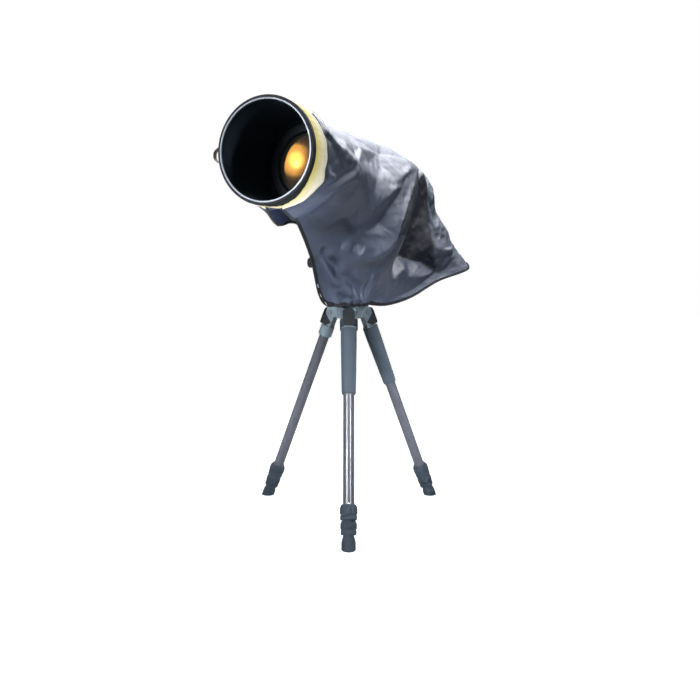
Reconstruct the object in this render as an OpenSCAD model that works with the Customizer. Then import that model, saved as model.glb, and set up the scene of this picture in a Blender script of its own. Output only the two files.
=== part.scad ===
// Telephoto camera under a rain cover, on a three-section tripod.
// Millimetres, +Z up, floor at Z = 0, tripod axis on the Z axis.
// The lens looks along -Y, so the camera back is on the +Y side.

/* [Part shown] */
// which sub-part is drawn

/* [Tripod] */
// length of a collapsed leg, hinge to sole, along the leg
leg_len = 534; // [480:1:600]
// lean of each leg from the vertical
leg_tilt = 22.6; // [18:0.1:28]
// hinge distance from the tripod axis
pivot_r = 45; // [42:0.5:52]
// turn of the tripod under the lens
leg_turn = -68.9; // [-120:0.1:0]
// outer radius of the upper leg tube
tube_r = 12.5; // [11.5:0.1:13.5]
// wall of every leg tube
tube_wall = 1.4; // [1.1:0.1:1.6]
// running gap between sliding tubes
tube_gap = 0.3; // [0.2:0.05:0.5]
// length of the upper twist lock
lock_a_len = 33; // [28:0.5:38]
// radius of the upper twist lock
lock_a_r = 18.7; // [17.5:0.1:20]
// length of the lower twist lock
lock_b_len = 30.8; // [26:0.5:36]
// radius of the lower twist lock
lock_b_r = 17.4; // [16.5:0.1:18.5]
// length of the rubber foot along the leg
foot_len = 29; // [26:0.5:36]
// end of the soft grip, measured down from the hinge
grip_end = 195; // [150:1:230]
// radius of the soft grip at its top
grip_r = 18.8; // [18:0.1:20]
// end of the leg casting, measured down from the hinge
yoke_end = 62; // [56:1:70]
// width of the hinge tongue of a leg
tongue_w = 21.4; // [19:0.1:23]
// side play of the tongue between the spider cheeks
tongue_gap = 0.3; // [0.2:0.05:0.5]
// thickness of one spider cheek
cheek_t = 6; // [5:0.5:7]
// radius of a hinge bolt
bolt_r = 4; // [3.5:0.1:4.5]

/* [Centre column] */
// outer radius of the centre column
column_r = 12; // [11:0.5:13]
// column length below the hinge plane
column_drop = 150; // [120:1:180]
// radius of the column top plate
plate_r = 30; // [28:0.5:32]

/* [Head] */
// height of the tilt axis above the column top plate
tilt_rise = 95; // [88:1:105]
// height of the lens axis above the tilt axis
lens_rise = 194; // [188:1:205]
// length of the quick plate
quick_len = 96; // [80:1:110]
// length of the lens foot
foot_run = 104; // [90:1:120]
// distance of the tilt knob from the tripod axis
knob_x = 80; // [76:1:86]
// width of the dovetail of the quick plate
dovetail_w = 38; // [36:0.5:40]
// running fit of pins and rings, on the radius
run_fit = 0.06; // [0.03:0.01:0.1]
// plain seat gap between parts of one body
seat_gap = 0.1; // [0.05:0.05:0.2]

/* [Lens] */
// distance from the tripod axis to the front of the hood
overhang = 421; // [390:1:450]
// thickness of the rubber bumper on the hood
bumper_t = 3.5; // [2:0.5:6]
// outer radius of the hood shell
hood_r = 94.5; // [92:0.5:95.5]
// wall of the hood shell
hood_wall = 3.2; // [2.5:0.1:4]
// length of the hood
hood_len = 212; // [206:1:225]
// depth of the front ring behind the hood front
glass_depth = 188; // [180:1:196]
// width of the black ring round the front element
ring_w = 22.3; // [18:0.1:26]
// curve radius of the front of the front element
glass_curve = 600; // [500:10:900]
// curve radius of the back of the front element
coat_curve = 300; // [260:5:400]
// radius of the lens barrel in the collar
barrel_r = 62; // [58:0.5:64]
// wall of the lens barrel
barrel_wall = 6; // [4:0.5:8]
// width of the focus ring
focus_w = 38; // [30:1:46]
// width of the lens collar
collar_w = 40; // [36:1:44]
// distance from the hood front to the bayonet flange
flange_at = 652; // [640:1:670]

/* [Camera] */
// width of the camera body
cam_w = 140; // [130:1:146]
// depth of the camera body
cam_d = 60; // [55:1:66]
// camera body below the lens axis
cam_down = 55; // [50:1:60]
// camera body above the lens axis
cam_up = 45; // [42:1:50]

/* [Rain cover] */
// width of the yellow cuff
cuff_w = 37; // [30:1:42]
// thickness of the cuff
cuff_t = 1.6; // [1.2:0.1:2]
// gap between the cuff and the hood
cuff_gap = 0.4; // [0.3:0.05:0.6]
// slack of the cover over the hood
cover_slack = 7; // [6:0.5:10]
// thickness of the cover solid
cover_t = 1.6; // [1.2:0.1:2]
// depth of the cover's main folds, as a share of those drawn
fold_depth = 1; // [0:0.1:1.1]
// radius of the gathered neck
neck_r = 42; // [40:0.5:48]

/* [Hidden] */
$fn = 72;

// heights
pivot_z = leg_len * cos(leg_tilt);
hub_top = pivot_z + 16;
hub_low = pivot_z - 14;
plate_z = hub_top + 1;
plate_t = 8;
base_z = plate_z + plate_t;
base_t = 16;
tilt_z = base_z + tilt_rise;
lens_z = tilt_z + lens_rise;

// leg stations, measured down from the hinge
tube_top = 34;
foot_top = leg_len - foot_len;
lock_b_low = foot_top - 0.4;
lock_b_top = lock_b_low - lock_b_len;
lock_a_low = lock_b_top - 0.6;
lock_a_top = lock_a_low - lock_a_len;
upper_end = lock_a_low - 10;
middle_top = 120;
middle_end = lock_b_low - 9;
lower_top = 140;
lower_end = foot_top + 11;
middle_r = tube_r - tube_wall - tube_gap;
lower_r = middle_r - tube_wall - tube_gap;
sleeve_r = 17;
tongue_r = 12;

// head stations
yoke_in = 30;
yoke_out = 42;
deck_z = tilt_z + 37;
clamp_z = deck_z + 10;
quick_z = clamp_z + 6;
foot_z = quick_z + 10;
foot_t = 15;
foot_w = dovetail_w - 6;
axle_r = 6;
stem_r = 5;

// lens stations along the axis, from the hood front
front_y = -overhang;
collar_s = overhang;
ring_s = glass_depth;
cone_s = overhang - 85;
flange_y = front_y + flange_at;
cam_y = flange_y + 6.5;
barrel_big = hood_r - hood_wall - 3;
barrel_rear = barrel_r - barrel_wall - 2;
mount_r = 42;
mount_bore = 24;
glass_r = barrel_big - ring_w;
rim_r = hood_r + bumper_t;
screw_r = 2.5;
collar_r = barrel_r + barrel_wall;
lug_x = collar_r + barrel_wall;
knob_reach = lug_x + 11.4;
focus_s = cone_s + 12;
cone_len = 70;
taper_s = flange_at - 100;
seat_s = ring_s + 34;

// cover stations
cuff_s = 13.5;
cover_r = hood_r + cover_slack;
cover_y = front_y + cuff_s + cuff_w;
ridge_h = cover_r + 10;

// placing helpers

// stand a form in the frame of leg i: origin at the hinge, leg along -Z
module at_leg(i)
    rotate([0, 0, leg_turn + 120 * i])
        translate([pivot_r, 0, pivot_z])
            rotate([0, -leg_tilt, 0])
                children();

// stand a revolved form on the lens axis, z = 0 at the hood front
module on_lens()
    translate([0, front_y, lens_z])
        rotate([-90, 0, 0])
            children();

// tube standing from z = a down to z = b
module tube_down(a, b, ro, ri)
    translate([0, 0, -b])
        difference() {
            cylinder(r = ro, h = b - a);
            translate([0, 0, -1]) cylinder(r = ri, h = b - a + 2);
        }

// cylinder lying along X from x = a to x = b
module rod_x(a, b, r)
    translate([a, 0, 0]) rotate([0, 90, 0]) cylinder(r = r, h = b - a);

// cylinder lying along Y, centred
module rod_y(len, r)
    rotate([90, 0, 0]) cylinder(r = r, h = len, center = true);

// block given by its two corners
module block(a, b)
    translate(a) cube(b - a);

// knob with flutes, standing from z = 0 to z = h
module fluted_knob(r, h, n)
    difference() {
        rotate_extrude()
            polygon([[0, 0], [r - 1.5, 0], [r, 1.5], [r, h - 2], [r - 2, h], [0, h]]);
        for (k = [0 : n - 1])
            rotate([0, 0, k * 360 / n])
                translate([r + r / n, 0, -1]) cylinder(r = r * 2 / n, h = h + 2, $fn = 24);
    }

// tripod crown

module spider() color("lightsteelblue")
    difference() {
        union() {
            translate([0, 0, hub_low]) cylinder(r = 30, h = hub_top - hub_low);
            for (i = [0 : 2]) rotate([0, 0, leg_turn + 120 * i])
                for (s = [-1, 1]) spider_cheek(s);
        }
        translate([0, 0, hub_low - 1]) cylinder(r = column_r + 0.1, h = 40);
        for (i = [0 : 2]) rotate([0, 0, leg_turn + 120 * i])
            translate([pivot_r, 0, pivot_z]) rod_y(80, bolt_r + run_fit);
    }

// one cheek of a leg clevis, on side s
module spider_cheek(s) {
    inner = tongue_w / 2 + tongue_gap;
    translate([0, s > 0 ? inner + cheek_t : -inner, pivot_z])
        rotate([90, 0, 0])
            linear_extrude(cheek_t) {
                polygon([[14, -14], [pivot_r - 4, -9.5], [pivot_r + 6, -7], [pivot_r + 9.5, 3],
                    [pivot_r + 5, 12], [pivot_r - 8, 16], [14, 16]]);
                translate([pivot_r, 0]) circle(r = 10);
            }
}

// hinge bolts of the three legs, one separate solid each
module hinge_bolts() color("silver")
    for (i = [0 : 2]) rotate([0, 0, leg_turn + 120 * i]) translate([pivot_r, 0, pivot_z]) {
        half = tongue_w / 2 + tongue_gap + cheek_t;
        rod_y(2 * half + 0.4, bolt_r);
        for (s = [-1, 1]) translate([0, s * (half + 1.7), 0]) rod_y(3, 6.5);
    }

module column_lock() color("dimgray")
    translate([0, 0, hub_low - 32.3])
        difference() {
            rotate_extrude()
                polygon([[column_r + 0.1, 0], [19, 0], [22, 3], [22, 27], [20, 32], [column_r + 0.1, 32]]);
            for (k = [0 : 11]) rotate([0, 0, 30 * k])
                translate([23, 0, 4]) cylinder(r = 2.2, h = 22, $fn = 24);
        }

module centre_column() color("slategray")
    difference() {
        union() {
            translate([0, 0, pivot_z - column_drop])
                cylinder(r = column_r, h = plate_z - pivot_z + column_drop + 1);
            translate([0, 0, plate_z]) cylinder(r = plate_r, h = plate_t);
        }
        translate([0, 0, pivot_z - column_drop - 1])
            cylinder(r = column_r - 2, h = column_drop + plate_z - pivot_z - 4);
    }

// end cap with the accessory thread in its underside
module column_cap() color("dimgray")
    translate([0, 0, pivot_z - column_drop])
        difference() {
            union() {
                translate([0, 0, -14]) cylinder(r1 = 11, r2 = column_r + 2, h = 14);
                cylinder(r = column_r - 2 - seat_gap, h = 12);
            }
            translate([0, 0, -15]) cylinder(r = 4.76, h = 15);
        }

// legs, drawn in the leg frame

module leg_yoke_form() color("lightsteelblue")
    difference() {
        union() {
            rod_y(tongue_w, tongue_r);
            block([-tongue_r, -tongue_w / 2, -36], [tongue_r, tongue_w / 2, 0]);
            translate([0, 0, -yoke_end]) cylinder(r = sleeve_r, h = yoke_end - 36);
        }
        rod_y(60, bolt_r + run_fit);
        translate([0, 0, -yoke_end - 1]) cylinder(r = tube_r + 0.05, h = yoke_end + 1 - tube_top);
    }

// U-shaped angle stop: two diamond plates joined by a finger bar
module angle_latch_form() color("black") {
    gap = tongue_w / 2 + 0.4;
    for (s = [0, 1]) mirror([0, s, 0])
        translate([0, gap + 3, 0]) rotate([90, 0, 0])
            linear_extrude(3) polygon([[0, -21], [8, -34], [17.5, -26], [17.5, -16], [9, -8]]);
    block([tongue_r + 0.5, -gap - 0.5, -26], [17.5, gap + 0.5, -16]);
}

module leg_tube_upper_form() color("slategray")
    tube_down(tube_top + 0.1, upper_end, tube_r, tube_r - tube_wall);

module leg_grip_form() color("darkslategray")
    difference() {
        rotate_extrude()
            polygon([[0, -36.5], [grip_r - 2.5, -36.5], [grip_r, -40], [grip_r, -70],
                [grip_r - 2.2, -grip_end + 8], [grip_r - 2.6, -grip_end + 2], [grip_r - 4, -grip_end],
                [0, -grip_end]]);
        translate([0, 0, -yoke_end - 0.2]) cylinder(r = sleeve_r + 0.05, h = yoke_end);
        translate([0, 0, -grip_end - 1]) cylinder(r = tube_r + 0.05, h = grip_end);
    }

module upper_lock_form() color("darkslategray")
    difference() {
        lock_body(lock_a_top, lock_a_low, lock_a_r);
        translate([0, 0, -upper_end - 0.3]) cylinder(r = tube_r + 0.1, h = 100);
        translate([0, 0, -lock_a_low - 1]) cylinder(r = middle_r + 0.2, h = 40);
    }

module leg_tube_middle_form() color("slategray")
    tube_down(middle_top, middle_end, middle_r, middle_r - tube_wall);

module lower_lock_form() color("darkslategray")
    difference() {
        lock_body(lock_b_top, lock_b_low, lock_b_r);
        translate([0, 0, -middle_end - 0.3]) cylinder(r = middle_r + 0.1, h = 100);
        translate([0, 0, -lock_b_low - 1]) cylinder(r = lower_r + 0.2, h = 40);
    }

// turned outside of a twist lock, from z = a down to z = b
module lock_body(a, b, r)
    rotate_extrude()
        polygon([[0, -b], [r - 1.6, -b], [r, -b + 1.6], [r, -b + 9], [r - 1, -b + 10], [r - 1, -b + 12],
            [r, -b + 13], [r, -a - 6], [r - 2.5, -a], [0, -a]]);

module leg_tube_lower_form() color("slategray")
    tube_down(lower_top, lower_end, lower_r, lower_r - tube_wall);

// rubber boot, drawn past the floor and cut level by it
module foot_pad_form(i) color("darkslategray")
    difference() {
        at_leg(i)
            difference() {
                rotate_extrude()
                    polygon([[0, -foot_top - 60], [15.5, -foot_top - 60], [15.5, -foot_top - 14],
                        [12.6, -foot_top - 3], [12, -foot_top], [0, -foot_top]]);
                translate([0, 0, -lower_end - 0.1]) cylinder(r = lower_r + 0.05, h = 60);
            }
        translate([-900, -900, -200]) cube([1800, 1800, 200]);
    }

module leg_yoke_front() at_leg(0) leg_yoke_form();
module leg_yoke_right() at_leg(1) leg_yoke_form();
module leg_yoke_left() at_leg(2) leg_yoke_form();
module angle_latch_front() at_leg(0) angle_latch_form();
module angle_latch_right() at_leg(1) angle_latch_form();
module angle_latch_left() at_leg(2) angle_latch_form();
module leg_tube_upper_front() at_leg(0) leg_tube_upper_form();
module leg_tube_upper_right() at_leg(1) leg_tube_upper_form();
module leg_tube_upper_left() at_leg(2) leg_tube_upper_form();
module leg_grip_front() at_leg(0) leg_grip_form();
module leg_grip_right() at_leg(1) leg_grip_form();
module upper_lock_front() at_leg(0) upper_lock_form();
module upper_lock_right() at_leg(1) upper_lock_form();
module upper_lock_left() at_leg(2) upper_lock_form();
module leg_tube_middle_front() at_leg(0) leg_tube_middle_form();
module leg_tube_middle_right() at_leg(1) leg_tube_middle_form();
module leg_tube_middle_left() at_leg(2) leg_tube_middle_form();
module lower_lock_front() at_leg(0) lower_lock_form();
module lower_lock_right() at_leg(1) lower_lock_form();
module lower_lock_left() at_leg(2) lower_lock_form();
module leg_tube_lower_front() at_leg(0) leg_tube_lower_form();
module leg_tube_lower_right() at_leg(1) leg_tube_lower_form();
module leg_tube_lower_left() at_leg(2) leg_tube_lower_form();
module foot_pad_front() foot_pad_form(0);
module foot_pad_right() foot_pad_form(1);
module foot_pad_left() foot_pad_form(2);

// head

module head_base() color("dimgray")
    translate([0, 0, base_z])
        rotate_extrude()
            polygon([[0, 0], [28, 0], [plate_r, 2], [plate_r, base_t - 2], [28, base_t], [0, base_t]]);

// turning bowl and the two tilt cheeks
module pan_housing() color("dimgray")
    difference() {
        union() {
            translate([0, 0, base_z + base_t + 0.3]) cylinder(r = 34, h = 27);
            block([-yoke_out, -20, tilt_z - 53], [yoke_out, 20, tilt_z - 41]);
            for (s = [0, 1]) mirror([s, 0, 0]) {
                block([yoke_in, -20, tilt_z - 53], [yoke_out, 20, tilt_z]);
                translate([0, 0, tilt_z]) rod_x(yoke_in, yoke_out, 20);
            }
        }
        translate([0, 0, tilt_z]) rod_x(-60, 60, axle_r + 0.03);
        translate([0, 0, base_z + base_t + 13]) rotate([0, 90, 90]) cylinder(r = stem_r + run_fit, h = 60);
        translate([0, 0, base_z + base_t - 1]) cylinder(r = stem_r + 0.5, h = 20);
    }

module pan_knob() color("black")
    translate([0, 0, base_z + base_t + 13]) rotate([-90, 0, 0]) {
        translate([0, 0, 22]) cylinder(r = stem_r, h = 20);
        translate([0, 0, 36]) fluted_knob(10.5, 18, 8);
    }

module tilt_axle() color("silver")
    translate([0, 0, tilt_z]) {
        rod_x(-knob_x - 14, yoke_out + 4, axle_r);
        rod_x(yoke_out + 0.3, yoke_out + 5, 11);
    }

module tilt_knob() color("black")
    translate([-knob_x, 0, tilt_z]) rotate([0, -90, 0])
        difference() {
            fluted_knob(12.5, 25, 9);
            translate([0, 0, -1]) cylinder(r = axle_r + run_fit, h = 15.5);
        }

// rocking block with the deck that carries the clamp
module tilt_cradle() color("dimgray")
    difference() {
        union() {
            translate([0, 0, tilt_z]) rod_x(-yoke_in + 0.4, yoke_in - 0.4, 18);
            block([-yoke_in + 0.4, -18, tilt_z], [yoke_in - 0.4, 18, deck_z + 1]);
            block([-32, -42, deck_z], [32, 42, clamp_z]);
        }
        translate([0, 0, tilt_z]) rod_x(-60, 60, axle_r + run_fit);
    }

// clamp body with the dovetail slot for the plate
module clamp_base() color("black")
    difference() {
        block([-32, -30, clamp_z], [32, 30, clamp_z + 14]);
        translate([0, 40, quick_z]) rotate([90, 0, 0]) linear_extrude(80) dovetail(0.15, 12);
        translate([0, 0, clamp_z + 8]) rod_x(24, 60, stem_r + run_fit);
    }

// cross-section of the dovetail, grown by g on each side
module dovetail(g, h)
    polygon([[-dovetail_w / 2 - g, 0], [dovetail_w / 2 + g, 0], [dovetail_w / 2 - 3 + g, 7],
        [dovetail_w / 2 - 3 + g, h], [-dovetail_w / 2 + 3 - g, h], [-dovetail_w / 2 + 3 - g, 7]]);

module clamp_knob() color("black")
    translate([0, 0, clamp_z + 8]) {
        rod_x(25, 80, stem_r);
        translate([78, 0, 0]) rotate([0, 90, 0]) fluted_knob(13, 20, 9);
    }

module quick_plate() color("silver")
    translate([0, quick_len / 2, quick_z]) rotate([90, 0, 0]) linear_extrude(quick_len) dovetail(0, 10);

module lens_foot() color("gainsboro") {
    block([-foot_w / 2, -foot_run / 2, foot_z], [foot_w / 2, foot_run / 2, foot_z + foot_t]);
    block([-14, -18, foot_z + foot_t - 1], [14, 18, lens_z - barrel_r - 16]);
}

module lens_collar() color("gainsboro")
    difference() {
        union() {
            translate([0, collar_w / 2, lens_z]) rotate([90, 0, 0]) cylinder(r = collar_r, h = collar_w);
            block([-18, -18, lens_z - barrel_r - 16], [18, 18, lens_z - barrel_r + 6]);
            translate([0, 0, lens_z]) rod_x(-lug_x, -barrel_r + 4, 11);
        }
        translate([0, 0, lens_z]) rod_y(collar_w + 2, barrel_r + run_fit);
        translate([0, 0, lens_z]) rod_x(-lug_x - 8, -barrel_r + 10, stem_r + run_fit);
    }

module collar_knob() color("black")
    translate([0, 0, lens_z]) {
        rod_x(-lug_x - 4, -barrel_r - 1, stem_r);
        translate([-lug_x - 0.4, 0, 0]) rotate([0, -90, 0]) fluted_knob(10, knob_reach - lug_x - 0.4, 8);
    }

// lens, revolved on the lens axis

module lens_barrel() color("gainsboro")
    on_lens() rotate_extrude()
        polygon([[glass_r + 2, ring_s + 6.3], [barrel_big, ring_s + 6.3], [barrel_big, cone_s - cone_len],
            [barrel_r, cone_s], [barrel_r, overhang + 28], [barrel_rear, overhang + 34],
            [barrel_rear, taper_s], [mount_r, flange_at - 40], [mount_r, flange_at],
            [mount_bore, flange_at], [mount_bore, flange_at - 30], [mount_bore + 10, flange_at - 45],
            [barrel_rear - barrel_wall, taper_s - 10], [barrel_r - barrel_wall, cone_s + barrel_wall],
            [barrel_big - barrel_wall, cone_s - cone_len - 2], [barrel_big - barrel_wall, seat_s + barrel_wall],
            [glass_r + 2, seat_s]]);

module focus_ring() color("black")
    on_lens() rotate_extrude()
        polygon([[barrel_r + run_fit, focus_s], [barrel_r + 3, focus_s], [barrel_r + 4, focus_s + 1],
            [barrel_r + 4, focus_s + focus_w - 1], [barrel_r + 3, focus_s + focus_w],
            [barrel_r + run_fit, focus_s + focus_w]]);

// black ring that holds the front element
module front_ring() color("black")
    on_lens() rotate_extrude()
        polygon([[glass_r, ring_s + 3], [glass_r + 4, ring_s], [barrel_big - 4, ring_s],
            [barrel_big - 4, ring_s + 3], [barrel_big, ring_s + 3], [barrel_big, ring_s + 6],
            [glass_r, ring_s + 6]]);

// front glass: a shallow dome to the mouth, a deeper coated face behind
module front_element() color("goldenrod")
    on_lens() intersection() {
        translate([0, 0, ring_s + 2.5 + glass_curve]) sphere(r = glass_curve);
        translate([0, 0, seat_s - 3 - coat_curve]) sphere(r = coat_curve);
        translate([0, 0, ring_s - 6]) cylinder(r = glass_r + 2 - seat_gap, h = seat_s - ring_s + 6);
    }

module rear_element() color("lightblue")
    on_lens() translate([0, 0, flange_at - 26]) cylinder(r = mount_bore - 0.2, h = 8);

module bayonet_ring() color("silver")
    on_lens() rotate_extrude()
        polygon([[mount_bore + 1, flange_at + 0.1], [mount_r - 6, flange_at + 0.1],
            [mount_r - 6, flange_at + 6.4], [mount_bore + 1, flange_at + 6.4]]);

module lens_hood() color("black")
    difference() {
        on_lens() rotate_extrude()
            polygon([[hood_r - hood_wall, 3.3], [hood_r, 3.3], [hood_r, hood_len - 3], [hood_r - 1, hood_len],
                [barrel_big + 0.3, hood_len], [barrel_big + 0.3, ring_s - 2], [hood_r - hood_wall, ring_s - 6]]);
        translate([0, front_y + hood_len - 12, lens_z + hood_r - 3]) cylinder(r = screw_r + run_fit, h = 10);
    }

// bright metal ring set in the hood front
module hood_bezel() color("silver")
    on_lens() rotate_extrude()
        polygon([[hood_r - 5.2, 1], [hood_r - 4.4, 0], [hood_r - 2.2, 0], [hood_r - 1.6, 0.6],
            [hood_r - 1.6, 3.2], [hood_r - 5.2, 3.2]]);

// rubber bumper round the hood front
module hood_bumper() color("black")
    on_lens() rotate_extrude()
        polygon([[hood_r - 1.5, 1.2], [rim_r - 1.5, 1.2], [rim_r, 2.7], [rim_r, 11], [rim_r - 1.5, 12.5],
            [hood_r + 0.05, 12.5], [hood_r + 0.05, 3.2], [hood_r - 1.5, 3.2]]);

module hood_knob() color("black")
    translate([0, front_y + hood_len - 12, lens_z + hood_r]) {
        translate([0, 0, -2.8]) cylinder(r = screw_r, h = 6);
        translate([0, 0, 0.3]) fluted_knob(8, 8, 8);
    }

// camera

module camera_body() color("black")
    difference() {
        union() {
            block([-cam_w / 2, cam_y, lens_z - cam_down], [cam_w / 2, cam_y + cam_d, lens_z + cam_up]);
            block([-cam_w / 2, cam_y - 22, lens_z - cam_down], [-cam_w / 2 + 24, cam_y + 5, lens_z + cam_up - 6]);
            block([-30, cam_y - 8, lens_z + cam_up - 1], [30, cam_y + cam_d - 6, lens_z + cam_up + 28]);
            block([-42, cam_y + cam_d - 1, lens_z - 36], [42, cam_y + cam_d + 5, lens_z + 26]);
        }
        translate([0, cam_y - 1, lens_z]) rotate([-90, 0, 0]) cylinder(r = 25, h = 35);
        translate([-cam_w / 2 + 12, cam_y - 12, lens_z + cam_up - 10]) cylinder(r = 5.5 + run_fit, h = 20);
        translate([50, cam_y + 30, lens_z + cam_up - 6]) cylinder(r = 4 + run_fit, h = 20);
        translate([-16, cam_y + cam_d - 14, lens_z + cam_up + 6]) cube([32, 20, 18]);
    }

module eyecup() color("dimgray")
    difference() {
        block([-15.9, cam_y + cam_d - 13, lens_z + cam_up + 6.1],
            [15.9, cam_y + cam_d + 14, lens_z + cam_up + 23.9]);
        block([-11, cam_y + cam_d - 6, lens_z + cam_up + 10], [11, cam_y + cam_d + 20, lens_z + cam_up + 20]);
    }

module shutter_button() color("silver")
    translate([-cam_w / 2 + 12, cam_y - 12, lens_z + cam_up - 7]) cylinder(r = 5.5, h = 4);

module mode_dial() color("black")
    translate([50, cam_y + 30, lens_z + cam_up]) {
        translate([0, 0, -5]) cylinder(r = 4, h = 8);
        translate([0, 0, 0.3]) fluted_knob(11, 8, 12);
    }

// rain cover

// turned band of elastic on the hood
module cover_cuff() color("khaki")
    on_lens() rotate_extrude()
        polygon([[hood_r + cuff_gap, cuff_s], [hood_r + cuff_gap + cuff_t, cuff_s],
            [hood_r + cuff_gap + cuff_t, cuff_s + cuff_w], [hood_r + cuff_gap, cuff_s + cuff_w]]);

// webbing loop of the cuff strap, on the far side of the hood
module cuff_strap() color("dimgray")
    translate([-hood_r - cuff_gap - cuff_t - 0.2, front_y + cuff_s + 3, lens_z])
        rotate([-90, 0, 0])
            linear_extrude(16)
                difference() {
                    polygon([[0, -18], [-4, -17], [-9, -8], [-10, 0], [-9, 8], [-4, 17], [0, 18]]);
                    polygon([[-1.5, -15.5], [-3.4, -15], [-7.4, -7], [-8.3, 0], [-7.4, 7], [-3.4, 15],
                        [-1.5, 15.5]]);
                }

// half widths and heights the cover passes over
side_x = max(cover_r - 1, knob_reach + 14);
rear_x = cam_w / 2 + 14;
neck_z = plate_z + 3;
back_y = cam_y + cam_d + 88;

// near side of the cover at each station: ridge, roof, side, waist, lower edge
// heights are above the lens axis
cage = [
    [ring_pt(90), ring_pt(50), ring_pt(5), ring_pt(-45), ring_pt(-86)],
    [[0, -318, ridge_h - 4], roof_pt(-318), [side_x, -318, 2], belly_pt(-318), [4, -318, -116]],
    [[0, -245, ridge_h - 1], roof_pt(-240), [side_x, -235, -5], belly_pt(-235), [-20, -245, -115]],
    [[0, -150, ridge_h], [60, -150, 82], [side_x - 2, -150, -5], [70, -150, -108], [-26, -165, -184]],
    [[0, -70, ridge_h], [56, -70, 82], [side_x - 3, -75, -10], [76, -85, -145], [-28, -94, -286]],
    [[0, 10, ridge_h], [56, 10, 82], [side_x - 2, 0, -15], [90, -38, -160], [16, -44, -294]],
    [[0, 90, ridge_h], [58, 105, 82], [side_x, 85, -20], [108, 5, -142], [neck_r, -6, -295]],
    [[0, 190, ridge_h], [rear_x - 12, 250, 80], [side_x + 1, 185, -28], [117, 42, -138], [38, 30, -294]],
    [[0, 270, ridge_h], [rear_x - 6, 318, 72], [rear_x + 2, 270, -30], [68, 120, -175], [70, 78, -298]],
    [[0, 325, ridge_h], [rear_x - 3, 350, 70], [rear_x + 8, 330, -30], [94, 212, -180], [106, 172, -281]],
    [[0, 362, ridge_h - 2], [rear_x - 2, 370, 66], [114, 345, -72], [138, 294, -168], [150, 282, -240]],
    [[0, back_y - 3, ridge_h - 12], [76, back_y, 60], [116, back_y + 8, -40], [160, 402, -130], [205, 408, -207]],
    [[0, back_y + 12, 60], [58, back_y + 17, 22], [92, back_y + 24, -50], [126, 420, -112], [172, 426, -176]],
    [[0, back_y + 30, -110], [40, back_y + 31, -114], [80, back_y + 33, -122], [122, 428, -136], [166, 430, -178]]
];
function ring_pt(a) = [cover_r * cos(a), cover_y, cover_r * sin(a)];
function near_pt(i, j) = cage[i][j] + [0, 0, lens_z];

function roof_pt(y) = [cover_r * 0.67, y, cover_r * 0.78];
function belly_pt(y) = [cover_r * 0.78, y, -cover_r * 0.73];

// the far front edge is drawn back behind the tilt knob, so the knob stays in reach
far_edge = [ring_pt(-104), [-24, -326, -125], [-32, -248, -115], [-66, -140, -112], [-100, -40, -128],
    [-104, 30, -180], [-neck_r - 4, 14, -284]];
far_waist = [[-93, -140, -62], [-101, -50, -80], [-107, 22, -112], [-113, 46, -155]];
function far_pt(i, j) =
    let (p = near_pt(i, j), up = [0, 0, lens_z])
    j == 4 && i <= 6 ? far_edge[i] + up :
    j == 3 && i >= 3 && i <= 6 ? far_waist[i - 3] + up :
    [-p[0], p[1], p[2]];

// one station from the near edge over the ridge to the far edge
function station(i) = [for (j = [4 : -1 : 0]) near_pt(i, j), for (j = [1 : 4]) far_pt(i, j)];

// smooth curve through the points of a list, k[i] steps on span i
function spline_at(p, i, t) =
    let (n = len(p) - 1, a = p[max(i - 1, 0)], b = p[i], c = p[min(i + 1, n)], d = p[min(i + 2, n)])
    b + (c - a) * (t / 2) + (2 * a - 5 * b + 4 * c - d) * (t * t / 2) + (3 * b - a - 3 * c + d) * (t * t * t / 2);
function spline(p, k) = [for (i = [0 : len(p) - 2], s = [0 : k[i] - 1]) spline_at(p, i, s / k[i]), p[len(p) - 1]];

// the sheet as a grid: rows along the cover, columns round it
cover_rows = [for (i = [0 : len(cage) - 1]) spline(station(i), [3, 3, 3, 3, 2, 3, 2, 2])];
cols = len(cover_rows[0]);
cover_cols = [for (j = [0 : cols - 1]) spline([for (i = [0 : len(cage) - 1]) cover_rows[i][j]], [for (i = cage) 2])];
rows = len(cover_cols[0]);

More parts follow.
